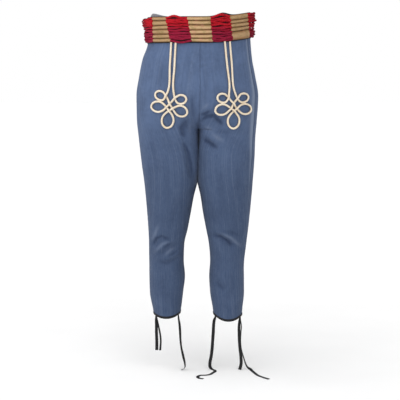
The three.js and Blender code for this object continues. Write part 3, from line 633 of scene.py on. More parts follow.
def rope(bm, line, ups, radius, sides=14, plies=2, pitch=14.0, groove=0.14, start=0.0):
    """A twisted cord along a line: its section has a bulge for each ply, which turns along the cord."""
    heading = unit(np.gradient(line, axis=0))
    across = unit(np.cross(heading, ups))
    up = np.cross(across, heading)
    passed = lengths_along(line)
    angles = np.linspace(0, 2 * math.pi, sides + 1)
    twist = 2 * math.pi * passed / pitch + start
    swell = 1 + groove * (np.abs(np.cos(plies / 2 * (angles[None, :] - twist[:, None]))) - 0.6)
    r = radius * swell
    points = (line[:, None, :] + across[:, None, :] * (r * np.cos(angles))[..., None]
              + up[:, None, :] * (r * np.sin(angles))[..., None])
    u = np.repeat((angles * radius)[None, :], len(line), axis=0)
    v = np.repeat(passed[:, None], sides + 1, axis=1)
    # The crown weight is highest on the outward side of a cord; the materials paint shade where it is low.
    layer = bm.verts.layers.float.get("crown") or bm.verts.layers.float.new("crown")
    crowns = np.repeat(np.sin(angles)[None, :], len(line), axis=0).ravel()
    made = add_grid(bm, points, np.stack([u, v], axis=2))
    for vert, crown in zip(made, crowns):
        vert[layer] = crown
    close_tube(bm, made, points, capped=True)


# Waist line and the layout of the sash along it
WAIST_SAMPLES = 720


def waist_point(turn, z, out=0.0):
    """A point round the waist; turn 0 is the centre front and grows to the wearer's left."""
    side = "right" if math.sin(turn) < 0 else "left"
    angle = math.pi / 2 - abs(math.atan2(math.sin(turn), math.cos(turn)))

    def at(a):
        return np.array(twisted(*hip_section(side, a, z), z))

    step = 0.01
    tangent = at(angle - step) - at(angle + step)
    normal = np.array([tangent[1], -tangent[0], 0.0]) * SIDES[side]
    return at(angle) + normal / np.linalg.norm(normal) * out


def waist_arcs():
    """Lengths along the waist at mid sash, for equal turns."""
    arcs = [0.0]
    before = waist_point(0.0, 0.0)
    for i in range(1, WAIST_SAMPLES + 1):
        here = waist_point(i * 2 * math.pi / WAIST_SAMPLES, 0.0)
        arcs.append(arcs[-1] + float(np.linalg.norm(here - before)))
        before = here
    return arcs


WAIST_ARCS = waist_arcs()
WAIST_LENGTH = WAIST_ARCS[-1]


def turn_at(arc):
    """The turn round the waist at a length along it."""
    turns = np.linspace(0, 2 * math.pi, WAIST_SAMPLES + 1)
    return float(np.interp(arc % WAIST_LENGTH, WAIST_ARCS, turns))


def on_waist(arc, z, out):
    """A point at a length along the waist."""
    return waist_point(turn_at(arc), z, out)


def sash_middle(arc):
    """Height of the sash's middle line, which rises to the wearer's left."""
    x = waist_point(turn_at(arc), 0.0)[0]
    return SASH_MIDDLE + SASH_LIFT * max(x / SASH_LIFT_REACH, 0) ** SASH_LIFT_POWER


def beyond(arc, place):
    """How far one place round the waist lies beyond another, towards the wearer's left."""
    off = (arc - place) / WAIST_LENGTH
    return (off - round(off)) * WAIST_LENGTH


def sash_hump(arc):
    """Extra height where the strands beside the front barrel ride up."""
    return SASH_HUMP["height"] * math.exp(-(beyond(arc, SASH_HUMP["arc"]) / SASH_HUMP["reach"]) ** 2)


def waistband_top(arc):
    """The waistband stands above the sash at the wearer's right and is hidden by it elsewhere."""
    off = beyond(arc, WAISTBAND["peak"])
    reach = WAISTBAND["front_reach"] if off > 0 else WAISTBAND["rear_reach"]
    return WAISTBAND["top"] + WAISTBAND["rise"] * math.exp(-(off / reach) ** 2)


def sash_layout():
    """Pieces of the sash as (kind, name, start, end, lean at start, lean at end)."""
    pieces = [("barrel", "front", -FRONT_BARREL / 2, FRONT_BARREL / 2,
               SASH_LEANS["front_right|front"], SASH_LEANS["front|front_left"])]
    ends = {}
    for direction, rows in SASH_PIECES.items():
        arc = FRONT_BARREL / 2
        before = "front"
        for i, (kind, name, width) in enumerate(rows):
            after = rows[i + 1][1] if i + 1 < len(rows) else "back"
            near = boundary_lean(before, name)
            far = boundary_lean(name, after)
            if direction > 0:
                pieces.append((kind, name, arc, arc + width, near, far))
            else:
                pieces.append((kind, name, -arc - width, -arc, far, near))
            arc += width
            before = name
        ends[direction] = arc
    pieces.append(("barrel", "back", ends[1], WAIST_LENGTH - ends[-1], 0, 0))
    return pieces


def boundary_lean(one, other):
    """Lean of the boundary between two neighbours of the sash."""
    return SASH_LEANS.get(f"{one}|{other}", SASH_LEANS.get(f"{other}|{one}", 0))


# Materials
def srgb(red, green, blue):
    """Linear colour from screen values between 0 and 255."""
    values = []
    for value in (red, green, blue):
        v = value / 255
        values.append(v / 12.92 if v <= 0.04045 else ((v + 0.055) / 1.055) ** 2.4)
    return (*values, 1.0)


class NodeSketch:
    """Short calls for building a node tree."""

    def __init__(self, tree):
        self.tree = tree

    def add(self, kind, **settings):
        node = self.tree.nodes.new(kind)
        for key, value in settings.items():
            setattr(node, key, value)
        return node

    def link(self, output, socket):
        self.tree.links.new(output, socket)

    def give(self, socket, given):
        """Gives a socket a number, a colour or another node's output."""
        if isinstance(given, (int, float, tuple)):
            socket.default_value = given
        else:
            self.link(given, socket)

    def value(self, operation, a, b=0.0):
        """Maths node; each input is a number or another node's output."""
        node = self.add("ShaderNodeMath", operation=operation)
        self.give(node.inputs[0], a)
        self.give(node.inputs[1], b)
        return node.outputs[0]

    def times(self, a, b):
        return self.value("MULTIPLY", a, b)

    def plus(self, a, b):
        return self.value("ADD", a, b)

    def attribute(self, name):
        """A value that the mesh carries at its vertices."""
        return self.add("ShaderNodeAttribute", attribute_name=name).outputs["Fac"]

    def parts(self, vector):
        """The X, Y and Z of a vector."""
        node = self.add("ShaderNodeSeparateXYZ")
        self.link(vector, node.inputs[0])
        return node.outputs

    def noise(self, vector, scale, detail=3.0, roughness=0.55, distortion=0.0):
        """Noise texture's value on a vector."""
        node = self.add("ShaderNodeTexNoise")
        self.link(vector, node.inputs["Vector"])
        for name, given in (("Scale", scale), ("Detail", detail), ("Roughness", roughness),
                            ("Distortion", distortion)):
            self.give(node.inputs[name], given)
        return node.outputs["Fac"]

    def ranged(self, value, low, high, to_low, to_high):
        """Value moved from one range to another, kept within it."""
        node = self.add("ShaderNodeMapRange", interpolation_type="SMOOTHSTEP")
        self.link(value, node.inputs["Value"])
        for name, given in (("From Min", low), ("From Max", high), ("To Min", to_low),
                            ("To Max", to_high)):
            node.inputs[name].default_value = given
        return node.outputs["Result"]

    def mixed(self, factor, one, other):
        """Mix of two colours; each is a colour or another node's output."""
        node = self.add("ShaderNodeMix", data_type="RGBA")
        self.link(factor, node.inputs["Factor"])
        self.give(node.inputs[6], one)
        self.give(node.inputs[7], other)
        return node.outputs[2]

    def layered(self, base, layers):
        """Lays colours over a base; a layer is a value, its range, the amounts at its ends and a colour."""
        for value, low, high, to_low, to_high, colour in layers:
            base = self.mixed(self.ranged(value, low, high, to_low, to_high), base, colour)
        return base


def new_group(name, inputs, outputs):
    """Empty shader node group with its sockets; inputs are (name, type, default)."""
    group = bpy.data.node_groups.new(name, "ShaderNodeTree")
    for socket_name, kind, default in inputs:
        socket = group.interface.new_socket(name=socket_name, in_out="INPUT", socket_type=kind)
        if default is not None:
            socket.default_value = default
    for socket_name, kind in outputs:
        group.interface.new_socket(name=socket_name, in_out="OUTPUT", socket_type=kind)
    sketch = NodeSketch(group)
    return sketch, sketch.add("NodeGroupInput").outputs, sketch.add("NodeGroupOutput").inputs


FLOAT = "NodeSocketFloat"
VECTOR = "NodeSocketVector"


def twill_group():
    """Diagonal ribs and single threads of twill on a UV in metres."""
    sketch, given, out = new_group(
        "Twill weave", [("Vector", VECTOR, None), ("Rib", FLOAT, 0.0018)],
        [("Height", FLOAT), ("Tone", FLOAT)])
    place = sketch.parts(given["Vector"])
    wander = sketch.noise(given["Vector"], 160.0, 2.0)
    across = sketch.value("DIVIDE", place["X"], given["Rib"])
    along = sketch.value("DIVIDE", place["Y"], given["Rib"])
    slant = sketch.plus(across, sketch.times(along, 0.72))
    slant = sketch.plus(slant, sketch.times(wander, 0.8))
    rib = sketch.value("SINE", sketch.times(slant, 2 * math.pi))
    thread = sketch.value("SINE", sketch.times(along, 4 * math.pi))
    weft = sketch.value("SINE", sketch.times(across, 4 * math.pi))
    cross = sketch.times(thread, weft)
    height = sketch.plus(sketch.times(rib, 0.35), sketch.times(cross, 0.15))
    sketch.link(sketch.plus(height, 0.5), out["Height"])
    slub = sketch.noise(stretched(sketch, given["Vector"], (1100.0, 35.0, 1.0)), 1.0, 2.0)
    # The rib adds a faint painted highlight on the crests of the ribs; the slubs are the yarn's own uneven
    # tone.
    sketch.link(sketch.plus(sketch.times(rib, 0.12), slub), out["Tone"])
    return sketch.tree


def stretched(sketch, vector, scale):
    """Vector with its own scale along each axis."""
    node = sketch.add("ShaderNodeMapping")
    sketch.link(vector, node.inputs["Vector"])
    node.inputs["Scale"].default_value = scale
    return node.outputs["Vector"]


def mottle_group():
    """Soft uneven dye, between 0 and 1 round a half."""
    sketch, given, out = new_group(
        "Uneven dye", [("Vector", VECTOR, None), ("Size", FLOAT, 0.04), ("Contrast", FLOAT, 1.0)],
        [("Tone", FLOAT)])
    scale = sketch.value("DIVIDE", 1.0, given["Size"])
    broad = sketch.noise(given["Vector"], scale, 4.0, 0.6, 0.3)
    fine = sketch.noise(given["Vector"], sketch.times(scale, 7.0), 3.0, 0.6)
    both = sketch.plus(sketch.times(broad, 0.65), sketch.times(fine, 0.35))
    spread = sketch.times(sketch.value("SUBTRACT", both, 0.5), given["Contrast"])
    sketch.link(sketch.plus(spread, 0.5), out["Tone"])
    return sketch.tree


def yarn_group():
    """Fibres and plies wound at a slant round a cord, on its UV in metres."""
    sketch, given, out = new_group(
        "Spun yarn", [("Vector", VECTOR, None), ("Yarn", FLOAT, 0.0012), ("Slant", FLOAT, 1.0)],
        [("Height", FLOAT), ("Tone", FLOAT)])
    flat = sketch.parts(given["Vector"])
    lean = sketch.times(flat["Y"], given["Slant"])
    place = sketch.value("DIVIDE", sketch.plus(flat["X"], lean), given["Yarn"])
    wander = sketch.noise(given["Vector"], 300.0, 3.0)
    place = sketch.plus(place, sketch.times(wander, 1.2))
    wave = sketch.value("SINE", sketch.times(place, 2 * math.pi))
    fuzz = sketch.noise(given["Vector"], 2400.0, 2.0)
    height = sketch.plus(sketch.times(wave, 0.4), sketch.times(fuzz, 0.35))
    sketch.link(sketch.plus(height, 0.4), out["Height"])
    # The tone follows the height, darker in the grooves between the plies and among the fibres: a painted
    # shade.
    tone = sketch.plus(sketch.times(wave, 0.25), sketch.times(fuzz, 0.5))
    sketch.link(sketch.plus(tone, 0.25), out["Tone"])
    return sketch.tree


GROUPS = {}
MATERIALS = {}


def shared_group(name):
    """A shared node group, built at its first use."""
    builders = {"twill": twill_group, "mottle": mottle_group, "yarn": yarn_group}
    if name not in GROUPS:
        GROUPS[name] = builders[name]()
    return GROUPS[name]


def use_group(sketch, name, vector, **values):
    """Places a shared group in a material and gives it its values."""
    node = sketch.add("ShaderNodeGroup", node_tree=shared_group(name))
    sketch.link(vector, node.inputs["Vector"])
    for key, value in values.items():
        node.inputs[key].default_value = value
    return node.outputs


def start_material(name, roughness, sheen=0.0, specular=0.3):
    """New material: its sketch, the main shader and the texture coordinates."""
    material = bpy.data.materials.new(name)
    material.use_nodes = True
    sketch = NodeSketch(material.node_tree)
    shader = material.node_tree.nodes["Principled BSDF"]
    shader.inputs["Roughness"].default_value = roughness
    shader.inputs["Specular IOR Level"].default_value = specular
    shader.inputs["Sheen Weight"].default_value = sheen
    shader.inputs["Sheen Roughness"].default_value = 0.45
    coordinates = sketch.add("ShaderNodeTexCoord").outputs
    return material, sketch, shader, coordinates


def bump(sketch, shader, height, distance, strength=1.0):
    """Bump from a height into the shader's normal."""
    node = sketch.add("ShaderNodeBump")
    node.inputs["Strength"].default_value = strength
    node.inputs["Distance"].default_value = distance
    sketch.link(height, node.inputs["Height"])
    sketch.link(node.outputs["Normal"], shader.inputs["Normal"])


def cloth_material(settings):
    """Blue wool twill: ribs, slubs, long pale streaks and uneven dye, darker from the hips to the knees,
    with painted highlights on ridges and seam edges and painted shade in folds.
    """
    material, sketch, shader, at = start_material("Blue twill", 0.9, sheen=0.05, specular=0.15)
    twill = use_group(sketch, "twill", at["UV"], Rib=0.0019)
    dye = use_group(sketch, "mottle", at["Object"], Size=0.07, Contrast=1.2)
    pale, dark = tuple(settings.pale_blue), tuple(settings.dark_blue)
    streak = sketch.noise(stretched(sketch, at["UV"], (170.0, 2.5, 1.0)), 1.0, 3.0, 0.6)
    base = sketch.layered(tuple(settings.upper_blue), (
        # Painted shade: darker from the hips down to the knees.
        (sketch.parts(at["Object"])["Z"], -0.62, -0.12, 1.0, 0.0, tuple(settings.shaded_lower_blue)),
        (streak, 0.5, 0.74, 0.0, 0.2, pale),
        (streak, 0.26, 0.48, 0.2, 0.0, dark),
        (dye["Tone"], 0.3, 0.72, 0.0, 0.3, dark),
        # Pale threads and slubs, with a faint painted highlight on the ribs.
        (twill["Tone"], 0.3, 0.85, 0.0, 0.2, pale)))
    # Painted highlight: paler towards pale blue on ridges, seam edges and the pressed thighs.
    base = sketch.mixed(sketch.times(sketch.attribute("painted_highlight"), 0.62), base, pale)
    # Painted shade: darker towards dark blue in creases, folds and the cleft at the fork.
    base = sketch.mixed(sketch.times(sketch.attribute("painted_shade"), 0.7), base, dark)
    sketch.link(base, shader.inputs["Base Color"])
    sketch.link(sketch.ranged(dye["Tone"], 0.2, 0.8, 0.84, 0.96), shader.inputs["Roughness"])
    bump(sketch, shader, twill["Height"], 0.00035, 0.8)
    return material


def plain_woven_material(name, dark, light, rib, roughness=0.85, sheen=0.1):
    """Close plain weave of two tones."""
    material, sketch, shader, at = start_material(name, roughness, sheen=sheen)
    twill = use_group(sketch, "twill", at["UV"], Rib=rib)
    dye = use_group(sketch, "mottle", at["Object"], Size=0.03, Contrast=1.3)
    base = sketch.layered(dark, (
        # Lighter threads and slubs, with a faint painted highlight on the ribs.
        (twill["Tone"], 0.2, 0.9, 0.0, 0.5, light),
        (dye["Tone"], 0.3, 0.7, 0.0, 0.3, dark)))
    sketch.link(base, shader.inputs["Base Color"])
    bump(sketch, shader, twill["Height"], 0.0003, 0.8)
    return material


def braid_material(settings):
    """Cream twisted cord with light fibres; painted shade makes it beige in the grooves between its plies
    and brown down its sides and underside, where it lies on the cloth.
    """
    material, sketch, shader, at = start_material("Cream braid", 0.85, sheen=0.05)
    yarn = use_group(sketch, "yarn", at["UV"], Yarn=0.0016, Slant=0.9)
    dye = use_group(sketch, "mottle", at["Object"], Size=0.02, Contrast=1.4)
    base = sketch.layered(srgb(222, 204, 178), (
        # Painted shade: beige in the grooves between the plies, cream on them.
        (yarn["Tone"], 0.2, 0.8, 0.0, 1.0, tuple(settings.cream)),
        (dye["Tone"], 0.35, 0.75, 0.0, 0.4, srgb(222, 190, 146)),
        # Painted shade: brown down the sides and underside of the cord.
        (sketch.attribute("crown"), -0.1, 0.5, 0.85, 0.0, srgb(120, 88, 62))))
    sketch.link(base, shader.inputs["Base Color"])
    bump(sketch, shader, yarn["Height"], 0.0004, 0.9)
    return material


def barrel_material(settings):
    """Old gold sleeve of the barrels: wound threads and worn places, with a painted highlight on the crests
    of its ridges, painted shade brown in the grooves and darker barrels at the sides of the waist.
    """
    material, sketch, shader, at = start_material("Old gold sleeve", 0.82, sheen=0.03)
    yarn = use_group(sketch, "yarn", at["UV"], Yarn=0.0013, Slant=0.08)
    dye = use_group(sketch, "mottle", at["Object"], Size=0.022, Contrast=1.8)
    crest = sketch.attribute("crest")
    off = sketch.value("ABSOLUTE", sketch.parts(at["Object"])["X"])
    base = sketch.layered(srgb(132, 92, 56), (
        # Painted shade: brown in the grooves of the wound thread, gold on it.
        (yarn["Tone"], 0.25, 0.8, 0.0, 0.8, tuple(settings.gold)),
        # Painted highlight on the crests of the ridges.
        (crest, 0.6, 1.0, 0.0, 0.6, tuple(settings.crest)),
        # Painted shade: dark brown in the grooves between the ridges and at the ends.
        (crest, 0.0, 0.6, 1.0, 0.0, srgb(54, 30, 22)),
        (dye["Tone"], 0.5, 0.68, 0.0, 0.5, srgb(132, 118, 66)),
        (sketch.noise(at["Object"], 55.0, 4.0), 0.55, 0.68, 0.0, 0.45, srgb(196, 132, 112)),
        # Painted shade: darker on the barrels at the sides of the waist.
        (off, 0.05, 0.12, 0.0, 0.4, srgb(128, 98, 62))))
    sketch.link(base, shader.inputs["Base Color"])
    bump(sketch, shader, yarn["Height"], 0.0004, 0.9)
    return material


def strand_material(settings):
    """Wool cords: scarlet above, crimson below, with maroon patches, and painted shade in the grooves of
    their yarn, down their sides and undersides, and on the groups at the sides of the waist.
    """
    material, sketch, shader, at = start_material("Crimson wool", 0.9, sheen=0.0, specular=0.15)
    yarn = use_group(sketch, "yarn", at["UV"], Yarn=0.0014, Slant=0.8)
    dye = use_group(sketch, "mottle", at["Object"], Size=0.016, Contrast=2.0)
    place = sketch.parts(at["Object"])
    tint = sketch.plus(place["Z"], sketch.times(dye["Tone"], 0.03))
    off = sketch.value("ABSOLUTE", place["X"])
    base = sketch.layered(tuple(settings.scarlet), (
        (tint, 0.0, 0.034, 1.0, 0.0, tuple(settings.crimson)),
        (dye["Tone"], 0.5, 0.8, 0.0, 0.7, tuple(settings.maroon)),
        # Painted shade: dark in the grooves of the yarn.
        (yarn["Tone"], 0.15, 0.6, 0.5, 0.0, srgb(70, 6, 20)),
        # Painted shade: nearly black down the sides and undersides of the cords, between them.
        (sketch.attribute("crown"), -0.2, 0.6, 0.8, 0.0, srgb(48, 4, 18)),
        # Painted shade: darker on the groups that turn round the sides of the waist.
        (off, 0.158, 0.178, 0.0, 0.5, srgb(104, 14, 34))))
    sketch.link(base, shader.inputs["Base Color"])
    bump(sketch, shader, yarn["Height"], 0.0006, 1.0)
    return material


def material_for(kind):
    """The material of one kind of piece, built at its first use."""
    if kind in MATERIALS:
        return MATERIALS[kind]
    scene = bpy.context.scene
    if kind == "cloth":
        made = cloth_material(scene.trousers_cloth)
    elif kind == "waistband":
        made = plain_woven_material("Grey waistband", srgb(112, 112, 118), srgb(166, 164, 168), 0.0016)
    elif kind == "black":
        made = plain_woven_material("Black tape", srgb(10, 10, 13), srgb(42, 41, 46), 0.0012, 0.65, 0.0)
    elif kind == "braid":
        made = braid_material(scene.trousers_braid)
    elif kind == "barrel":
        made = barrel_material(scene.trousers_sash)
    else:
        made = strand_material(scene.trousers_sash)
    MATERIALS[kind] = made
    return made


def colour_setting(name, description, *screen):
    """A colour among the settings, its default given in screen values."""
    return bpy.props.FloatVectorProperty(name=name, description=description, size=4, subtype="COLOR",
                                         default=srgb(*screen), min=0, max=1)


class TrousersClothSettings(bpy.types.PropertyGroup):
    """Sizes and colours of the cloth."""

    thickness: bpy.props.FloatProperty(
        name="Thickness", description="Thickness of the twill", default=0.0018, min=0.0008, max=0.003,
        subtype="DISTANCE", unit="LENGTH")
    upper_blue: colour_setting("Upper Blue", "Colour at the hips", 84, 103, 137)
    # The lower colour is the upper blue in painted shade, for the legs from the knees down.
    shaded_lower_blue: colour_setting("Lower Blue", "Colour from the knees down", 61, 77, 105)
    # Pale blue colours pale threads and streaks, and the painted highlights on ridges and seam edges.
    pale_blue: colour_setting("Pale Blue", "Colour of rubbed nap and pale threads", 124, 136, 158)
    # Dark blue colours dark streaks and uneven dye, and the painted shade in creases and folds.
    dark_blue: colour_setting("Dark Blue", "Colour deep in the folds", 36, 47, 72)


class TrousersBraidSettings(bpy.types.PropertyGroup):
    """Sizes and colours of the braid."""

    radius: bpy.props.FloatProperty(
        name="Radius", description="Radius of the round cord", default=CORD_RADIUS * MM, min=0.001,
        max=0.006, subtype="DISTANCE", unit="LENGTH")
    cream: colour_setting("Cream", "Colour of the cord", 255, 246, 228)


class TrousersSashSettings(bpy.types.PropertyGroup):
    """Sizes and colours of the barrel sash."""

    strand_radius: bpy.props.FloatProperty(
        name="Strand Radius", description="Radius of each wool cord", default=0.0039, min=0.002,
        max=0.006, subtype="DISTANCE", unit="LENGTH")
    scarlet: colour_setting("Scarlet", "Colour of the upper cords", 206, 28, 42)
    crimson: colour_setting("Crimson", "Colour of the lower cords", 164, 32, 64)
    maroon: colour_setting("Maroon", "Colour of the darker places", 112, 12, 32)
    gold: colour_setting("Gold", "Colour of the barrels", 190, 146, 100)
    # The crest colour is the painted highlight on the tops of the barrels' ridges.
    crest: colour_setting("Crest", "Colour of the crests of their ridges", 222, 190, 146)


# Camera of the front view: its sensor, place, and lens and tilt in pixels of a picture
SENSOR = 36.0
PICTURE_PIXELS = 400
FOCAL_PIXELS = 1212
DOWN_PIXELS = 134
CAMERA_ACROSS = 0.00825
CAMERA_HEIGHT = -0.117


class TrousersStageSettings(bpy.types.PropertyGroup):
    """Camera and light."""

    distance: bpy.props.FloatProperty(
        name="Distance", description="How far the camera stands from the middle", default=4.0, min=1,
        subtype="DISTANCE", unit="LENGTH")
    down: bpy.props.FloatProperty(
        name="Down", description="How far the camera looks down",
        default=math.atan(DOWN_PIXELS / FOCAL_PIXELS), subtype="ANGLE", unit="ROTATION")
    key: bpy.props.FloatProperty(
        name="Key", description="Strength of the main light", default=2.55, min=0)
    surround: bpy.props.FloatProperty(
        name="Surround", description="Strength of the light from all round", default=0.42, min=0)


class TROUSERS_OT_camera(bpy.types.Operator):
    """Places the camera at the height and angle of the front view."""

    bl_idname = "trousers.camera"
    bl_label = "Camera"

    def execute(self, context):
        settings = context.scene.trousers_stage
        camera = bpy.data.objects.new("camera", bpy.data.cameras.new("camera"))
        camera.data.sensor_width = SENSOR
        camera.data.lens = SENSOR * FOCAL_PIXELS / PICTURE_PIXELS
        camera.location = (CAMERA_ACROSS, -settings.distance, CAMERA_HEIGHT)
        camera.rotation_euler = (math.pi / 2 - settings.down, 0.0, 0.0)
        context.scene.collection.objects.link(camera)
        context.scene.camera = camera
        return {"FINISHED"}


class TROUSERS_OT_ribbons(bpy.types.Operator):
    """Makes the six black ribbon ties, each at its own length."""

    bl_idname = "trousers.ribbons"
    bl_label = "Ribbon Ties"

    def execute(self, context):
        for node, points in RIBBONS.items():
            line = evenly(spline_points(points, 10), 2.5)
            piece = make_ribbon(node, line)
        return {"FINISHED"}


def make_ribbon(node, line):
    """A flat ribbon with soft curled edges along its line."""
    rng = random.Random(node)
    phase = rng.uniform(0, 6)
    heading = unit(np.gradient(line[:, :3], axis=0))
    turns = np.radians(line[:, 3])
    width = np.stack([np.cos(turns), np.sin(turns), np.zeros(len(turns))], axis=1)
    width = unit(width - heading * (width * heading).sum(axis=1, keepdims=True))
    thick = np.cross(heading, width)
    half = RIBBON_THICKNESS / 2
    columns = 8
    outline = [(turned * (-1 + 2 * k / columns), turned) for turned in (1, -1) for k in range(columns + 1)]
    outline.append(outline[0])
    passed = lengths_along(line[:, :3])
    sections = []
    for i, centre in enumerate(line[:, :3]):
        curl = 0.35 * math.sin(passed[i] / 17 + phase)
        section = []
        for w, n in outline:
            at = centre + width[i] * w * RIBBON_WIDTH / 2 + thick[i] * (n * half + curl * w * w)
            at[2] = max(at[2], FLOOR + (half if n * thick[i][2] < 0 else 3 * half))
            section.append(at)
        sections.append(section)
    bm = bmesh.new()
    u = np.array([[w * RIBBON_WIDTH / 2 for w, _ in outline]] * len(sections))
    v = np.repeat(passed[:, None], len(outline), axis=1)
    verts = add_grid(bm, sections, np.stack([u, v], axis=2))
    close_tube(bm, verts, sections, capped=True)
    return make_piece(node + "_tape", bm, "black", [node])


class TROUSERS_OT_panels(bpy.types.Operator):
    """Makes the four cloth panels and the black binding of the hems."""

    bl_idname = "trousers.panels"
    bl_label = "Cloth Panels"

    def execute(self, context):
        settings = context.scene.trousers_cloth
        for side in SIDES:
            grids = {}
            for face in FACES:
                grids[face] = panel_grid(side, face)
                make_panel(side, face, grids[face], settings)
            make_binding(side, grids)
        return {"FINISHED"}


def make_panel(side, face, grid, settings):
    """One panel from the waist seam to the hem, as a thin shell."""
    bm = bmesh.new()
    add_grid(bm, grid, surface_uvs(grid))
    middle = Vector((SIDES[side] * 0.095, 0.005, 0.0))

    def outward(place):
        away = place - middle
        return Vector((away.x, away.y, 0.0))

    name = f"{face}_{side}_cloth"
    piece = make_piece(name, bm, "cloth", [f"{face}_{side}"], outward)
    # The painted highlight and the painted shade go on the points for the cloth's colour.
    for painted_light, values in zip(("painted_highlight", "painted_shade"), highlight_and_shade_values(side, face, grid)):
        layer = piece.data.attributes.new(painted_light, "FLOAT", "POINT")
        layer.data.foreach_set("value", values.ravel())
    shell = piece.modifiers.new("Cloth thickness", "SOLIDIFY")
    shell.thickness = settings.thickness
    shell.offset = -1.0


def highlight_and_shade_values(side, face, grid):
    """Where the cloth gets a painted highlight, on crease ridges, seam edges, the pressed thighs and the
    lit edge at the left hip, and painted shade in creases, folds, the cleft at the fork and behind that
    edge.
    """
    from_side, from_middle = seam_distances(grid)
    height = grid[..., 2]
    crease = crease_depths(face, grid) / 3.5
    fold = fold_depths(face, grid) / 9
    # Painted highlight on the ridges of the creases and on the raised edge beside each side seam.
    painted_highlight = np.clip(-crease, 0, 1) * 0.7 + 0.3 * np.exp(-((from_side - 4.5) / 3) ** 2)
    # Painted shade in the hollows of the creases and folds.
    painted_shade = np.clip(crease, 0, 1) * 0.75 + np.clip(fold, 0, 1) * 0.3
    below = smooth_step((-268 - height) / 20)
    shut = smooth_step((-302 - height) / 16)
    # Painted shade in the cleft along the centre seam at the fork.
    painted_shade += (below if face == "front" else 0.8) * (1 - shut) * 0.7 * np.exp(-(from_middle / 2.6) ** 2)
    pressed = smooth_step((-310 - height) / 20) * smooth_step((height + 520) / 30)
    # Painted highlight over the pressed thighs, lightening the shade between them.
    painted_highlight += 0.6 * pressed * np.exp(-((from_middle - 34) / 16) ** 2)
    if side == "left":
        high = smooth_step((height + 560) / 260)
        reach = 4.0 + 8.0 * np.exp(-((height + 285) / 130) ** 2)
        if face == "front":
            # Painted highlight along the lit front edge by the left hip's side seam.
            painted_highlight += 1.4 * high * np.exp(-((from_side - reach) / reach) ** 2)
        else:
            # Painted shadow on the back panel just behind that lit edge.
            painted_shade += 0.5 * high * np.exp(-((from_side - 4) / 4) ** 2)
    return np.clip(painted_highlight, 0, 1.3), np.clip(painted_shade, 0, 1)


def make_binding(side, grids):
    """Black tape folded round a hem, from the lowest rows of its two panels."""
    ring = np.concatenate([grids["front"][-3:], grids["back"][-3:, ::-1][:, 1:-1]], axis=1)
    low = ring[-1]
    climb = ring[0] - ring[-1]
    climb /= climb[:, 2:3]
    tangent = np.roll(low, -1, axis=0) - np.roll(low, 1, axis=0)
    normal = unit(np.cross(tangent, climb))
    centre = low.mean(axis=0)
    if ((low - centre) * normal).sum() < 0:
        normal = -normal
    front = [(0.2, 6.4), (0.95, 6.2), (1.25, 5.4), (1.35, 1.5), (1.2, -0.9), (0.3, -1.7), (-0.9, -1.9)]
    rear = [(0.3, -1.7), (1.0, -0.9), (1.1, 1.5), (1.0, 5.2), (0.15, 6.2), (0.1, -0.4)]
    profile = front + [(-CLOTH_THICKNESS - out, up) for out, up in rear] + [(0.1, -0.4), front[0]]
    sections = []
    for i in list(range(len(low))) + [0]:
        sections.append([low[i] + climb[i] * up + normal[i] * out for out, up in profile])
    bm = bmesh.new()
    close_tube(bm, add_grid(bm, sections, surface_uvs(sections)), sections)
    bmesh.ops.remove_doubles(bm, verts=bm.verts, dist=1e-6)
    make_piece(f"hem_tape_{side}", bm, "black", [f"hem_binding_{side}"])


class TROUSERS_OT_waistband(bpy.types.Operator):
    """Makes the grey waistband and the thin black backing of the sash."""

    bl_idname = "trousers.waistband"
    bl_label = "Waistband and Backing"

    def execute(self, context):
        make_ring("waistband_cloth", "waistband", "waistband", -2.3, 0.0,
                  lambda arc: WAISTBAND_SEAM + 0.4, waistband_top)
        make_ring("sash_backing_cloth", "black", "sash_backing", 1.2, 2.3,
                  lambda arc: sash_middle(arc) - BACKING_FOOT,
                  lambda arc: sash_middle(arc) + BACKING_TOP + sash_hump(arc))
        return {"FINISHED"}


def make_ring(name, kind, node, near, far, bottom, top):
    """A band round the waist between two distances out and two heights, with rounded edges."""
    columns = 240
    rows = 10
    sections = []
    for i in range(columns):
        arc = WAIST_LENGTH * i / columns
        low = bottom(arc)
        high = top(arc)
        sway = 0.5 * math.sin(arc / 31) + 0.3 * math.sin(arc / 13)
        outer = [(low + (high - low) * k / rows, far + sway * 0.3) for k in range(rows + 1)]
        inner = [(high + (low - high) * k / rows, near + sway * 0.3) for k in range(rows + 1)]
        middle = (near + far) / 2
        loop = outer + [(high + 0.5, middle)] + inner + [(low - 0.5, middle), outer[0]]
        sections.append([on_waist(arc, z, out) for z, out in loop])
    sections.append(sections[0])
    bm = bmesh.new()
    close_tube(bm, add_grid(bm, sections, surface_uvs(sections)), sections)
    bmesh.ops.remove_doubles(bm, verts=bm.verts, dist=1e-6)
    make_piece(name, bm, kind, [node])


class TROUSERS_OT_barrels(bpy.types.Operator):
    """Makes the six ridged barrels of the sash."""

    bl_idname = "trousers.barrels"
    bl_label = "Sash Barrels"

    def execute(self, context):
        for kind, name, start, end, lean_start, lean_end in sash_layout():
            if kind == "barrel":
                make_barrel(name, start + 0.25, end - 0.25, lean_start, lean_end)
        return {"FINISHED"}


def barrel_outline(ridges):
    """Outline of a barrel as (out, up, crest), ridge by ridge from the top."""
    total = sum(ridges)
    near = 3.1
    valley = 5.0
    outline = [(near, SASH_HALF, 0.0)]
    top = SASH_HALF
    for ridge in ridges:
        height = 2 * SASH_HALF * ridge / total
        steps = 10
        for k in range(steps + 1):
            part = k / steps
            bulge = math.sin(math.pi * part) ** 0.55
            outline.append((valley + 4.6 * bulge, top - height * part, bulge))
        top -= height
    outline.append((near, -SASH_HALF, 0.0))
    outline.append(outline[0])
    return outline


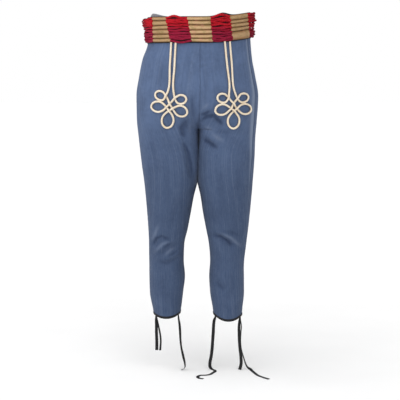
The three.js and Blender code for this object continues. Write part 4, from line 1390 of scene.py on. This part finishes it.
def make_barrel(name, start, end, lean_start, lean_end):
    """One barrel along the waist; its ridges waver and its ends lean."""
    outline = barrel_outline(BARREL_RIDGES[name])
    columns = 26
    rng = random.Random(name)
    phases = [rng.uniform(0, 6) for _ in range(8)]
    sections = []
    crests = []
    for c in range(columns + 1):
        part = c / columns
        round_end = min(part, 1 - part) * columns
        pinch = 0.9 * math.exp(-round_end * 1.1)
        section = []
        for out, up, crest in outline:
            lean = (lean_start + (lean_end - lean_start) * part) * -up / SASH_HALF
            arc = start + (end - start) * part + lean
            k = int((SASH_HALF - up) / 14)
            wave = 0.7 * math.sin(part * 3.0 + phases[min(max(k, 0), 7)])
            far = out - pinch if out > 3.5 else out
            section.append(on_waist(arc, sash_middle(arc) + up + wave * (crest > 0), far))
        sections.append(section)
        crests.append([crest for _, _, crest in outline])
    bm = bmesh.new()
    # The crest weight also steers the barrel's painted highlight and painted shade.
    layer = bm.verts.layers.float.new("crest")
    verts = add_grid(bm, sections, surface_uvs(sections))
    for vert, crest in zip(verts, np.array(crests).ravel()):
        vert[layer] = crest
    bmesh.ops.remove_doubles(bm, verts=bm.verts, dist=1e-6)
    open_edges = [edge for edge in bm.edges if edge.is_boundary]
    bmesh.ops.holes_fill(bm, edges=open_edges, sides=0)
    make_piece(f"barrel_{name}", bm, "barrel", [f"sash_barrel_{name}"])


class TROUSERS_OT_strands(bpy.types.Operator):
    """Makes the six groups of wool cords between the barrels."""

    bl_idname = "trousers.strands"
    bl_label = "Sash Strands"

    def execute(self, context):
        radius = context.scene.trousers_sash.strand_radius / MM
        for kind, name, start, end, lean_start, lean_end in sash_layout():
            if kind == "strands":
                make_strands(name, start, end, lean_start, lean_end, radius)
        return {"FINISHED"}


def edge_shift(places, part):
    """Height added by the places where an edge cord rides up or hangs down."""
    return sum(height * math.exp(-((part - place) / reach) ** 2) for place, height, reach in places)


def make_strands(name, start, end, lean_start, lean_end, radius):
    """A group of cords that run side by side, waver and bow out between two barrels."""
    rng = random.Random("strands " + name)
    bm = bmesh.new()
    steps = 34
    top_bulge, foot_bulge = STRAND_BULGES.get(name, (0, 0))
    for layer, rows in ((0, 10), (1, 4), (2, 5 if top_bulge else 0)):
        for i in range(rows):
            spread = (i + 0.5) / rows * 2 - 1
            up = -spread * (SASH_HALF - 0.8) if layer == 0 else rng.uniform(-0.8, 0.85) * SASH_HALF
            crossing = rng.uniform(-2.0, 2.0) if layer == 0 else rng.uniform(-9, 9)
            sag = rng.uniform(-1.2, 1.4)
            phase = rng.uniform(0, 6)
            out = rng.uniform(4.6, 6.4) if layer == 0 else rng.uniform(7.4, 8.8)
            slack = rng.uniform(2.5, 5.5) if layer == 2 else 1.0
            high = max(up / SASH_HALF, 0) ** 2
            low = max(-up / SASH_HALF, 0) ** 2
            bulge = foot_bulge + (top_bulge - foot_bulge) * (up / SASH_HALF + 1) / 2
            line = []
            ups = []
            for k in range(steps + 1):
                part = k / steps
                swell = math.sin(math.pi * part)
                lean = (lean_start + (lean_end - lean_start) * part) * -up / SASH_HALF
                arc = start - 2 + (end - start + 4) * part + lean
                z = sash_middle(arc) + up * (1 + 0.07 * swell) + sash_hump(arc) * high * swell
                z += edge_shift(STRAND_TOPS.get(name, ()), part) * high * swell
                z += edge_shift(STRAND_FEET.get(name, ()), part) * low * swell
                z += (crossing * (part - 0.5) + sag + 1.5 * math.sin(part * 8 + phase)) * swell
                far = out + (bulge + slack * math.sin(part * 5 + phase)) * swell
                line.append(on_waist(arc, z, far))
                ups.append(on_waist(arc, z, far + 10) - line[-1])
            thick = radius * rng.uniform(0.86, 1.06) * (1.0, 0.78, 0.5)[layer]
            rope(bm, np.array(line), np.array(ups), thick, sides=12, plies=3,
                 pitch=rng.uniform(20, 26), groove=0.22, start=rng.uniform(0, 6))
    make_piece(f"strands_{name}", bm, "strands", [f"sash_strands_{name}"])


class TROUSERS_OT_braid(bpy.types.Operator):
    """Makes the knotted cream braid on both thighs."""

    bl_idname = "trousers.braid"
    bl_label = "Braid Knots"

    def execute(self, context):
        radius = context.scene.trousers_braid.radius / MM
        for side in SIDES:
            make_braid(side, radius)
        return {"FINISHED"}


def braid_route(side):
    """Route of one braid in front view: down a stem, round five loops and up the other stem."""
    knot = KNOTS[side]
    lean = math.radians(knot["turn"])

    def place(across, up):
        return (knot["x"] + (across * math.cos(lean) - up * math.sin(lean)) * KNOT_NARROW,
                knot["z"] + across * math.sin(lean) + up * math.cos(lean))

    def stem(k):
        top = (knot["stems"][k], knot["top"])
        bend = (knot["bends"][k], STEM_BEND)
        return [top, ((top[0] + bend[0]) / 2, (top[1] + bend[1]) / 2), bend]

    points = stem(0)
    for loop in KNOT_LOOPS:
        tilt = math.radians(loop["lean"])
        for i in range(7):
            angle = math.radians(loop["go"] + loop["turn"] * i / 6)
            a = loop["length"] / 2 * math.cos(angle)
            b = loop["width"] / 2 * math.sin(angle)
            points.append(place(loop["across"] + a * math.cos(tilt) - b * math.sin(tilt),
                                loop["up"] + a * math.sin(tilt) + b * math.cos(tilt)))
    points += reversed(stem(1))
    return evenly(spline_points([(x, 0.0, z) for x, z in points], KNOT_POINTS), 1.6)


def crossings(route):
    """Places where a route crosses itself, as pairs of lengths along it."""
    flat = route[:, [0, 2]]
    passed = lengths_along(flat)
    found = []
    for i in range(len(flat) - 1):
        a = flat[i]
        d = flat[i + 1] - a
        for j in range(i + 8, len(flat) - 1):
            c = flat[j]
            if abs(c[0] - a[0]) > 4 or abs(c[1] - a[1]) > 4:
                continue
            e = flat[j + 1] - c
            det = d[0] * e[1] - d[1] * e[0]
            if abs(det) < 1e-9:
                continue
            s = ((c[0] - a[0]) * e[1] - (c[1] - a[1]) * e[0]) / det
            t = ((c[0] - a[0]) * d[1] - (c[1] - a[1]) * d[0]) / det
            if 0 <= s < 1 and 0 <= t < 1:
                found.append((passed[i] + s * np.linalg.norm(d), passed[j] + t * np.linalg.norm(e)))
    return found, passed


def make_braid(side, radius):
    """The cord is laid on the front panel and goes over and under itself in turn."""
    panel = bpy.data.objects[f"front_{side}_cloth"]
    route = braid_route(side)
    found, passed = crossings(route)
    visits = sorted([(s, i) for i, pair in enumerate(found) for s in pair])
    lift = np.zeros(len(route))
    over_first = {}
    for order, (s, i) in enumerate(visits):
        over = order % 2 == 0 if i not in over_first else not over_first[i]
        over_first.setdefault(i, over)
        if over:
            lift = np.maximum(lift, 1.75 * radius * np.exp(-((passed - s) / 7.5) ** 2))
    line = []
    ups = []
    for (x, _, z), high in zip(route, lift):
        hit, place, normal, _ = panel.ray_cast(Vector((x * MM, -1.0, z * MM)), Vector((0, 1, 0)))
        if not hit:
            raise RuntimeError(f"The braid on the {side} leg leaves its panel at {x:.0f}, {z:.0f}")
        outward = normal if normal.y < 0 else -normal
        up = np.array(outward)
        line.append(np.array(place) / MM + up * (radius * 0.9 + 0.3 + high))
        ups.append(up)
    line = np.array(line)
    ups = np.array(ups)
    kernel = np.array([1, 2, 3, 2, 1]) / 9
    for k in range(3):
        line[2:-2, k] = np.convolve(line[:, k], kernel, mode="valid")
    bm = bmesh.new()
    rope(bm, line, ups, radius, sides=16, plies=2, pitch=11.0, groove=0.2)
    make_piece(f"braid_{side}_cord", bm, "braid", [f"braid_{side}"])


class TROUSERS_OT_stage(bpy.types.Operator):
    """Makes the pale floor, the soft lights and the bright surroundings."""

    bl_idname = "trousers.stage"
    bl_label = "Stage"

    def execute(self, context):
        settings = context.scene.trousers_stage
        bm = bmesh.new()
        bmesh.ops.create_grid(bm, x_segments=1, y_segments=1, size=30.0)
        bmesh.ops.translate(bm, verts=bm.verts, vec=(0.0, 0.0, FLOOR * MM))
        floor = link_mesh("floor", bm)
        material, sketch, shader, at = start_material("Pale floor", 0.95, specular=0.0)
        tone = sketch.noise(at["Object"], 3.0, 2.0)
        share = sketch.ranged(tone, 0.3, 0.7, 0.0, 1.0)
        colour = sketch.mixed(share, srgb(252, 252, 252), srgb(254, 254, 254))
        sketch.link(colour, shader.inputs["Base Color"])
        floor.data.materials.append(material)
        soft_sun("key light", (-0.62, -0.80, 1.05), settings.key, 100)
        soft_sun("fill light", (0.9, -0.5, 0.5), settings.key * 0.14, 90)
        world = bpy.data.worlds.new("studio")
        world.use_nodes = True
        tree = world.node_tree
        surround = tree.nodes["Background"]
        surround.inputs["Color"].default_value = (1.0, 1.0, 1.0, 1.0)
        surround.inputs["Strength"].default_value = settings.surround
        backdrop = tree.nodes.new("ShaderNodeBackground")
        backdrop.inputs["Color"].default_value = (1.0, 1.0, 1.0, 1.0)
        backdrop.inputs["Strength"].default_value = 1.0
        rays = tree.nodes.new("ShaderNodeLightPath")
        mixed = tree.nodes.new("ShaderNodeMixShader")
        tree.links.new(rays.outputs["Is Camera Ray"], mixed.inputs["Fac"])
        tree.links.new(surround.outputs["Background"], mixed.inputs[1])
        tree.links.new(backdrop.outputs["Background"], mixed.inputs[2])
        tree.links.new(mixed.outputs["Shader"], tree.nodes["World Output"].inputs["Surface"])
        context.scene.world = world
        context.scene.view_settings.view_transform = "Standard"
        return {"FINISHED"}


def soft_sun(name, towards, strength, spread):
    """Even light from one direction, as from a very large soft box; the spread is in degrees."""
    light = bpy.data.lights.new(name, "SUN")
    light.energy = strength
    light.angle = math.radians(spread)
    lamp = bpy.data.objects.new(name, light)
    lamp.location = Vector(towards) * 3
    lamp.rotation_euler = Vector(towards).to_track_quat("Z", "Y").to_euler()
    bpy.context.scene.collection.objects.link(lamp)


class TROUSERS_PT_panel(bpy.types.Panel):
    """Lists the settings and the pieces."""

    bl_label = "Trousers"
    bl_idname = "TROUSERS_PT_panel"
    bl_space_type = "VIEW_3D"
    bl_region_type = "UI"
    bl_category = "Trousers"

    def draw(self, context):
        for group in SETTINGS:
            settings = getattr(context.scene, group)
            box = self.layout.box()
            for name in settings.bl_rna.properties.keys():
                if name not in ("rna_type", "name"):
                    box.prop(settings, name)
        for operator in OPERATORS:
            self.layout.operator(operator.bl_idname)


SETTINGS = {
    "trousers_cloth": TrousersClothSettings,
    "trousers_braid": TrousersBraidSettings,
    "trousers_sash": TrousersSashSettings,
    "trousers_stage": TrousersStageSettings,
}
OPERATORS = (
    TROUSERS_OT_camera,
    TROUSERS_OT_ribbons,
    TROUSERS_OT_panels,
    TROUSERS_OT_waistband,
    TROUSERS_OT_barrels,
    TROUSERS_OT_strands,
    TROUSERS_OT_braid,
    TROUSERS_OT_stage,
)


def register():
    """Registers the settings, the operators and the panel."""
    for name, settings in SETTINGS.items():
        bpy.utils.register_class(settings)
        setattr(bpy.types.Scene, name, bpy.props.PointerProperty(type=settings))
    for operator in OPERATORS:
        bpy.utils.register_class(operator)
    bpy.utils.register_class(TROUSERS_PT_panel)


def unregister():
    """Takes them away again."""
    bpy.utils.unregister_class(TROUSERS_PT_panel)
    for operator in reversed(OPERATORS):
        bpy.utils.unregister_class(operator)
    for name, settings in SETTINGS.items():
        delattr(bpy.types.Scene, name)
        bpy.utils.unregister_class(settings)


def main():
    """Makes every piece in order."""
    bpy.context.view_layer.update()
    register()
    bpy.ops.trousers.camera()
    bpy.ops.trousers.ribbons()
    bpy.ops.trousers.panels()
    bpy.ops.trousers.waistband()
    bpy.ops.trousers.barrels()
    bpy.ops.trousers.strands()
    bpy.ops.trousers.braid()
    bpy.ops.trousers.stage()


if __name__ == "__main__":
    main()
